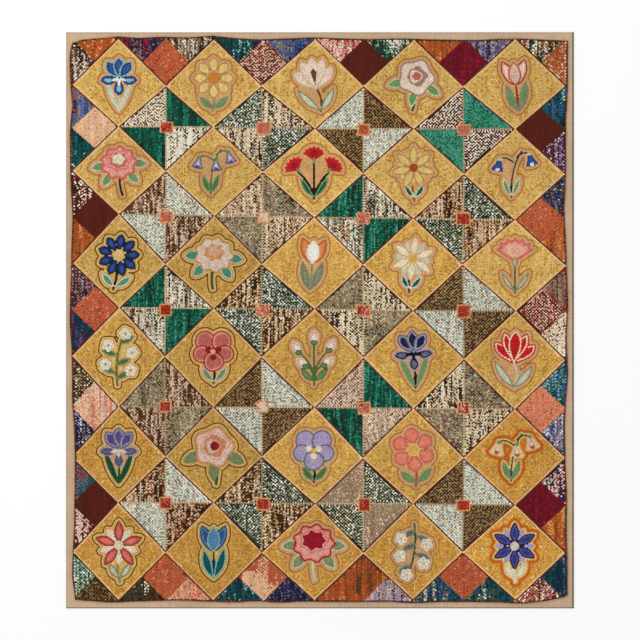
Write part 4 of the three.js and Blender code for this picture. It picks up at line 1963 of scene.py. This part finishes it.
@dataclass
class FieldTop:
    """Outline and height of the hooked field, read off the frame's own solid, in millimetres."""

    node: str = "hooked_field"
    pitch: float = 15.0
    rim: float = 6.0
    above: float = 60.0
    usual: float = 8.0

    def __post_init__(self) -> None:
        """Read the outline, then the height on a grid."""
        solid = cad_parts[self.node].data
        co = read(solid.vertices, "co", 3) / MM
        self.base = float(co[:, 2].min())
        foot = np.unique(np.round(co[co[:, 2] < self.base + 0.5][:, :2], 2), axis=0)
        self.outline = foot[np.argsort(np.arctan2(foot[:, 1], foot[:, 0]))]
        faces = [tuple(one.vertices) for one in solid.polygons]
        reader = BVHTree.FromPolygons([tuple(v) for v in co.tolist()], faces)
        self.low, high = self.outline.min(axis=0), self.outline.max(axis=0)
        self.count = np.ceil((high - self.low) / self.pitch).astype(int) + 1
        self.heights = np.zeros(tuple(self.count))
        inner = offset_line(self.outline, -3.0)
        least, most = inner.min(axis=0) + self.rim, inner.max(axis=0) - self.rim
        for place in np.ndindex(*self.count):
            spot = np.clip(self.low + np.array(place) * self.pitch, least, most)
            hit = reader.ray_cast(Vector((*spot, self.above)), Vector((0, 0, -1)))[0]
            self.heights[place] = hit.z if hit else self.base + self.usual

    def height(self, points: Points) -> Points:
        """Give the field's height at each point.

        Args:
            points: places, in millimetres.

        Returns:
            The heights, in millimetres.
        """
        grid = np.clip((points - self.low) / self.pitch, 0, self.count - 1.001)
        (i, j), (across, along) = grid.astype(int).T, (grid - grid.astype(int)).T
        near = self.heights[i, j] * (1 - across) + self.heights[i + 1, j] * across
        far = self.heights[i, j + 1] * (1 - across) + self.heights[i + 1, j + 1] * across
        return near * (1 - along) + far * along


@dataclass
class HookedPile:
    """The wool pile of the field, a low dome for every loop.

    Crowns stand `crown_rise` over the field's mean height and valleys lie `valley_depth` under it,
    but within `rim_drop` of the edge the foot of a loop meets the cloth. `check` is how much lighter
    every other loop is, and `uneven` how far the dye differs between loops, along a row and over a
    wide area.
    """

    top: FieldTop
    lattice: Lattice
    crown_rise: float = 0.55
    valley_depth: float = 1.35
    settle: float = 0.45
    rim_drop: float = 0.9
    check: float = 0.13
    uneven: tuple[float, float, float] = (0.36, 0.16, 0.12)
    row_cell: tuple[float, float] = (9.0, 46.0)
    wash_cell: tuple[float, float] = (260.0, 310.0)
    lift: float = 0.7
    wave: float = 0.5
    wave_cell: tuple[float, float] = (14.0, 22.0)
    wool: WoolPile = WoolPile()

    def build(self) -> list[bpy.types.Object]:
        """Plan the loops, raise them and dress them.

        Returns:
            One piece for each group of patches.
        """
        hooking = Hooking(self.top.outline)
        design = Design(self.lattice, hooking)
        design.hook()
        points, fixed, odd = hooking.loops()
        guard = offset_line(resampled(hooking.outline, hooking.loop, True), hooking.row * 0.55)
        points, triangles = self._net(points, guard)
        loops = points[: len(fixed)]
        yarns, piece, strength = design.dyed(loops, fixed, odd)
        log.info("%d loops hooked", len(loops))
        dyes = self._dyes(loops, yarns, strength * (1 + (odd - 0.5) * self.check))
        tree, made = PileTree(), []
        for number, pile in enumerate(PILES):
            own = np.zeros(len(points), bool)
            own[: len(piece)] = piece == number
            mesh = self._raised(pile.value, points, triangles, own, dyes, tree)
            made.append(placed(pile.value, mesh, "hooked_field"))
        return made

    def _net(self, points: Points, guard: Points) -> tuple[Points, Points]:
        """Join neighbouring loops, let them ease apart, and join them again.

        Args:
            points: loop centres.
            guard: ring of points just outside the field.

        Returns:
            All points, the guard ring last, and the triangles between them.
        """
        everything, inner = np.vstack([points, guard]), slice(len(points))
        triangles = self._joined(everything)
        pairs = np.vstack([triangles[:, [0, 1]], triangles[:, [1, 2]], triangles[:, [2, 0]]])
        total, count = np.zeros_like(everything), np.zeros(len(everything))
        np.add.at(total, pairs[:, 0], everything[pairs[:, 1]])
        np.add.at(count, pairs[:, 0], 1)
        middle = total[inner] / count[inner][:, None]
        everything[inner] += (middle - everything[inner]) * self.settle
        return everything, self._joined(everything)

    @staticmethod
    def _joined(points: Points) -> Points:
        """Join neighbouring points.

        Args:
            points: the points.

        Returns:
            The triangles, each as the numbers of its corners.
        """
        result = delaunay_2d_cdt([Vector(p) for p in points.tolist()], [], [], 0, 1e-6)
        first = np.array([origin[0] for origin in result[3]])
        return first[np.array(result[2])]

    def _dyes(self, points: Points, yarns: Points, strength: Points) -> dict[str, Points]:
        """Give the colour of both plies of every loop: its yarn's dye, a little uneven.

        Args:
            points: loop centres.
            yarns: yarn numbers, a row for each ply.
            strength: how strongly each loop is dyed, about 1.

        Returns:
            The colours, linear, by the name of the ply.
        """
        whole, (single, row, wide) = np.round(points * 4), self.uneven
        run = 1 + (soft_noise(points, *self.row_cell, SEED + 12) - 0.5) * row
        wash = 1 + (soft_noise(points, *self.wash_cell, SEED + 13) - 0.5) * wide
        dyes: dict[str, Points] = {}
        for ply, name in enumerate(("yarn", "ply")):
            own = 1 + (hash01(whole[:, 0], whole[:, 1], SEED + 11 + ply) - 0.5) * single
            colours = YARN_LIGHT[yarns[ply]] * (own * run * wash * strength)[:, None]
            dyes[name] = np.clip(colours, 0.002, 1.0)
        return dyes

    def _raised(
        self, name: str, points: Points, triangles: Points, own: Points, dyes: dict[str, Points],
        tree: PileTree,
    ) -> bpy.types.Mesh:
        """Raise the loops of one piece and set them at the field's height.

        Args:
            name: name of the piece.
            points: every loop centre, and the guard ring.
            triangles: the net between them.
            own: True for each loop of the piece.
            dyes: colours of the plies of every loop.
            tree: the nodes that raise a net.

        Returns:
            The mesh of the piece.
        """
        used = triangles[own[triangles].any(axis=1)]
        kept, numbers = np.unique(used, return_inverse=True)
        net = bpy.data.meshes.new(name + "_net")
        flat = np.column_stack([points[kept] * MM, np.zeros(len(kept))])
        net.from_pydata(flat.tolist(), [], numbers.reshape(-1, 3).tolist())
        for layer, colours in dyes.items():
            dye, inner = np.ones((len(kept), 4)), kept < len(colours)
            dye[inner, :3] = colours[kept[inner]]
            net.attributes.new(layer, "FLOAT_COLOR", "POINT").data.foreach_set("color", dye.ravel())
        net.attributes.new("own", "FLOAT", "POINT").data.foreach_set("value", own[kept].astype(float))
        carrier = bpy.data.objects.new(name + "_net", net)
        bpy.context.scene.collection.objects.link(carrier)
        mesh = tree.raised(carrier, self.wool.material())
        bpy.data.objects.remove(carrier)
        bpy.data.meshes.remove(net)
        self._set_heights(mesh)
        flat_map(mesh)
        return mesh

    def _set_heights(self, mesh: bpy.types.Mesh) -> None:
        """Set each vertex at its height, from its own place alone, so that pieces meet.

        Args:
            mesh: the pile of one piece.
        """
        co, crown = read(mesh.vertices, "co", 3), read(mesh.attributes["crown"].data, "value")
        plan = co[:, :2] / MM
        whole, level = np.round(plan * 3), self.top.height(plan)
        lift = (hash01(whole[:, 0], whole[:, 1], SEED + 21) - 0.5) * self.lift
        wave = (soft_noise(plan, *self.wave_cell, SEED + 22) - 0.5) * self.wave
        high, low = level + self.crown_rise + lift + wave, level - self.valley_depth + wave
        low = np.where(self._from_edge(plan) > -self.rim_drop, self.top.base + 0.1, low)
        co[:, 2] = np.where(crown > 0.5, high, low) * MM
        mesh.vertices.foreach_set("co", co.ravel())
        mesh.update()

    def _from_edge(self, plan: Points) -> Points:
        """Measure how far points lie outside the field's edge, negative inside.

        Args:
            plan: places, in millimetres.

        Returns:
            The distances, each a large negative one where it is far inside.
        """
        away = np.full(len(plan), -100.0)
        outer = (np.abs(plan) > np.abs(self.top.outline).max(axis=0) - 24).any(axis=1)
        away[outer] = signed_distance(plan[outer], resampled(self.top.outline, 8.0, True))
        return away


@dataclass
class Slab:
    """A closed sheet of cloth lying flat, with rounded edges and a light ripple.

    `base` is the height of its underside and `edge_height` what is left of its thickness at the very
    edge. Its border follows `edge`, or is a plain rectangle, and the rows of its mesh by the border
    are `near` it, in shares of `round_over`.
    """

    name: str
    width: float
    length: float
    base: float
    thickness: float
    round_over: float
    edge_height: float
    ripple: float
    spacing: float
    edge: Optional[Points] = None
    near: tuple[float, ...] = (0, 0.08, 0.2, 0.4, 0.7, 1.0, 1.5, 2.3)

    def mesh(self, finish: Finish) -> bpy.types.Mesh:
        """Build the closed sheet.

        Args:
            finish: what it is made of.

        Returns:
            Its mesh, in metres.
        """
        xs, ys = self._stations(self.width), self._stations(self.length)
        plan = np.column_stack([grid.ravel() for grid in np.meshgrid(xs, ys, indexing="ij")])
        inset = (np.array([self.width, self.length]) / 2 - np.abs(plan)).min(axis=1)
        share = np.clip(inset / self.round_over, 0, 1)
        turned_down = np.sqrt(1 - (1 - share) ** 2)
        waves = soft_noise(plan, 36.0, 44.0, SEED + 41) + soft_noise(plan, 11.0, 13.0, SEED + 42) * 0.4 - 0.7
        top = self.edge_height + (self.thickness - self.edge_height) * turned_down
        top = top + waves * self.ripple * share
        under = np.where(inset < 0.01, self.edge_height * 0.5, 0.0)
        if self.edge is not None:
            plan = self._followed(plan)
        co = np.vstack([np.column_stack([plan, self.base + height]) for height in (top, under)])
        made = bpy.data.meshes.new(self.name)
        made.from_pydata((co * MM).tolist(), [], self._faces(len(xs), len(ys)))
        made.shade_smooth()
        made.materials.append(finish.material())
        flat_map(made)
        return made

    def _followed(self, plan: Points) -> Points:
        """Ease the rows of the mesh in or out, so that the outermost lie on the outline.

        Args:
            plan: points of the mesh.

        Returns:
            The eased points.
        """
        rim, (x, y) = resampled(self.edge, 8.0, True), plan.T
        share = np.maximum(np.abs(x) / self.width, np.abs(y) / self.length) * 2
        ways = np.arctan2(rim[:, 1], rim[:, 0])
        out = np.interp(np.arctan2(y, x), ways, np.hypot(*rim.T), period=2 * math.pi)
        scale = 1 + share ** 6 * (out * share / np.maximum(np.hypot(x, y), 1e-6) - 1)
        return plan * scale[:, None]

    def _stations(self, size: float) -> Points:
        """Give the rows of the mesh in one direction, close together by the edges.

        Args:
            size: the sheet's size in that direction.

        Returns:
            Their places.
        """
        near = np.array(self.near) * self.round_over
        span = size - 2 * near[-1]
        inner = np.linspace(0, span, int(round(span / self.spacing)) + 1)[1:-1] + near[-1]
        return np.concatenate([near, inner, size - near[::-1]]) - size / 2

    @staticmethod
    def _faces(nx: int, ny: int) -> list[tuple[int, ...]]:
        """Give the faces of the top, the underside and the four walls.

        Args:
            nx: rows of the mesh across.
            ny: rows of the mesh along.

        Returns:
            The faces, each as the numbers of its corners.
        """
        count, faces = nx * ny, []
        for i in range(nx - 1):
            for j in range(ny - 1):
                a, b = i * ny + j, (i + 1) * ny + j
                faces += [(a, b, b + 1, a + 1), (count + a + 1, count + b + 1, count + b, count + a)]
        around = [i * ny for i in range(nx - 1)] + [(nx - 1) * ny + j for j in range(ny - 1)]
        around += [i * ny + ny - 1 for i in range(nx - 1, 0, -1)] + list(range(ny - 1, 0, -1))
        return faces + [(a, count + a, count + b, b) for a, b in zip(around, around[1:] + around[:1])]


@dataclass
class LinenBacking:
    """The linen cloth that the hooked field is mounted on, with its edges turned under."""

    sheet: Slab = field(
        default_factory=lambda: Slab("linen_cloth", 1650, 1872, 0.0, 3.0, 5.0, 0.8, 0.28, 20.0)
    )
    finish: PlainWeave = PlainWeave()

    def build(self) -> bpy.types.Object:
        """Returns:
            The piece.
        """
        piece = placed(self.sheet.name, self.sheet.mesh(self.finish), "linen_backing")
        size = (self.sheet.width * MM, self.sheet.length * MM)
        return piece


@dataclass
class Foundation:
    """The coarse cloth that the loops are drawn through, `inset` from the edge of the field."""

    outline: Points
    inset: float = 4.5
    finish: PlainWeave = PlainWeave(
        "foundation_burlap", (0.36, 0.27, 0.16), (0.20, 0.14, 0.08), 0.0021, 2.0, 2.0
    )

    def build(self, below: bpy.types.Object, pile: list[bpy.types.Object]) -> bpy.types.Object:
        """Args:
            below: the cloth that it lies on; not used.
            pile: the pieces of the pile; not used.

        Returns:
            The piece.
        """
        edge = offset_line(resampled(self.outline, 8.0, True), -self.inset)
        sheet = Slab("foundation_cloth", 1611, 1835, 3.3, 1.4, 2.0, 0.6, 0.0, 60.0, edge)
        piece = placed(sheet.name, sheet.mesh(self.finish), "hooked_field")
        size = (sheet.width * MM, sheet.length * MM)
        return piece


# ---------------- stage


@dataclass
class Stage:
    """A pale floor, soft studio light and a camera straight above, in metres.

    Each light has a name, a place, a size and a strength in watts.
    """

    distance: float = 4.912
    lens: float = 85.0
    middle: tuple[float, float] = (0.0, 0.0007)
    lights: tuple[tuple[str, tuple[float, float, float], float, float], ...] = (
        ("key_light", (-4.2, 4.2, 5.6), 3.0, 246.0), ("fill_light", (4.4, -4.0, 5.6), 4.0, 59.0),
    )
    sky: float = 0.705
    floor: float = 6.0
    under: float = 0.0006

    def build(self) -> None:
        """Build the floor, the lights and the camera."""
        mesh = bpy.data.meshes.new("floor")
        out = self.floor
        corners = [(x, y, -self.under) for x, y in ((-out, -out), (out, -out), (out, out), (-out, out))]
        mesh.from_pydata(corners, [], [(0, 1, 2, 3)])
        mesh.materials.append(PaleFloor().material())
        self._linked("floor", mesh)
        for name, place, size, power in self.lights:
            data = bpy.data.lights.new(name, "AREA")
            data.size, data.energy = size, power
            light = self._linked(name, data)
            light.location = place
            light.rotation_euler = (-Vector(place)).to_track_quat("-Z", "Y").to_euler()
        world = bpy.data.worlds.new("studio")
        world.use_nodes = True
        back = world.node_tree.nodes["Background"]
        back.inputs["Color"].default_value = (1.0, 1.0, 1.0, 1.0)
        back.inputs["Strength"].default_value = self.sky
        bpy.context.scene.world = world
        bpy.context.scene.view_settings.view_transform = "Standard"
        lens = bpy.data.cameras.new("camera")
        lens.lens, lens.sensor_width, lens.clip_end = self.lens, 36.0, 100.0
        camera = self._linked("camera", lens)
        camera.location = (*self.middle, self.distance)
        bpy.context.scene.camera = camera

    @staticmethod
    def _linked(name: str, data: Any) -> bpy.types.Object:
        """Put something in the scene.

        Args:
            name: its name.
            data: its mesh, light or camera.

        Returns:
            The object.
        """
        made = bpy.data.objects.new(name, data)
        bpy.context.scene.collection.objects.link(made)
        return made


def main() -> None:
    """Build the rug and its stage, and report each piece."""
    logging.basicConfig(level=logging.INFO, format="%(name)s: %(message)s")
    Stage().build()
    linen = LinenBacking().build()
    top = FieldTop()
    pile = HookedPile(top, Lattice()).build()
    Foundation(top.outline).build(linen, pile)


if __name__ == "__main__":
    main()
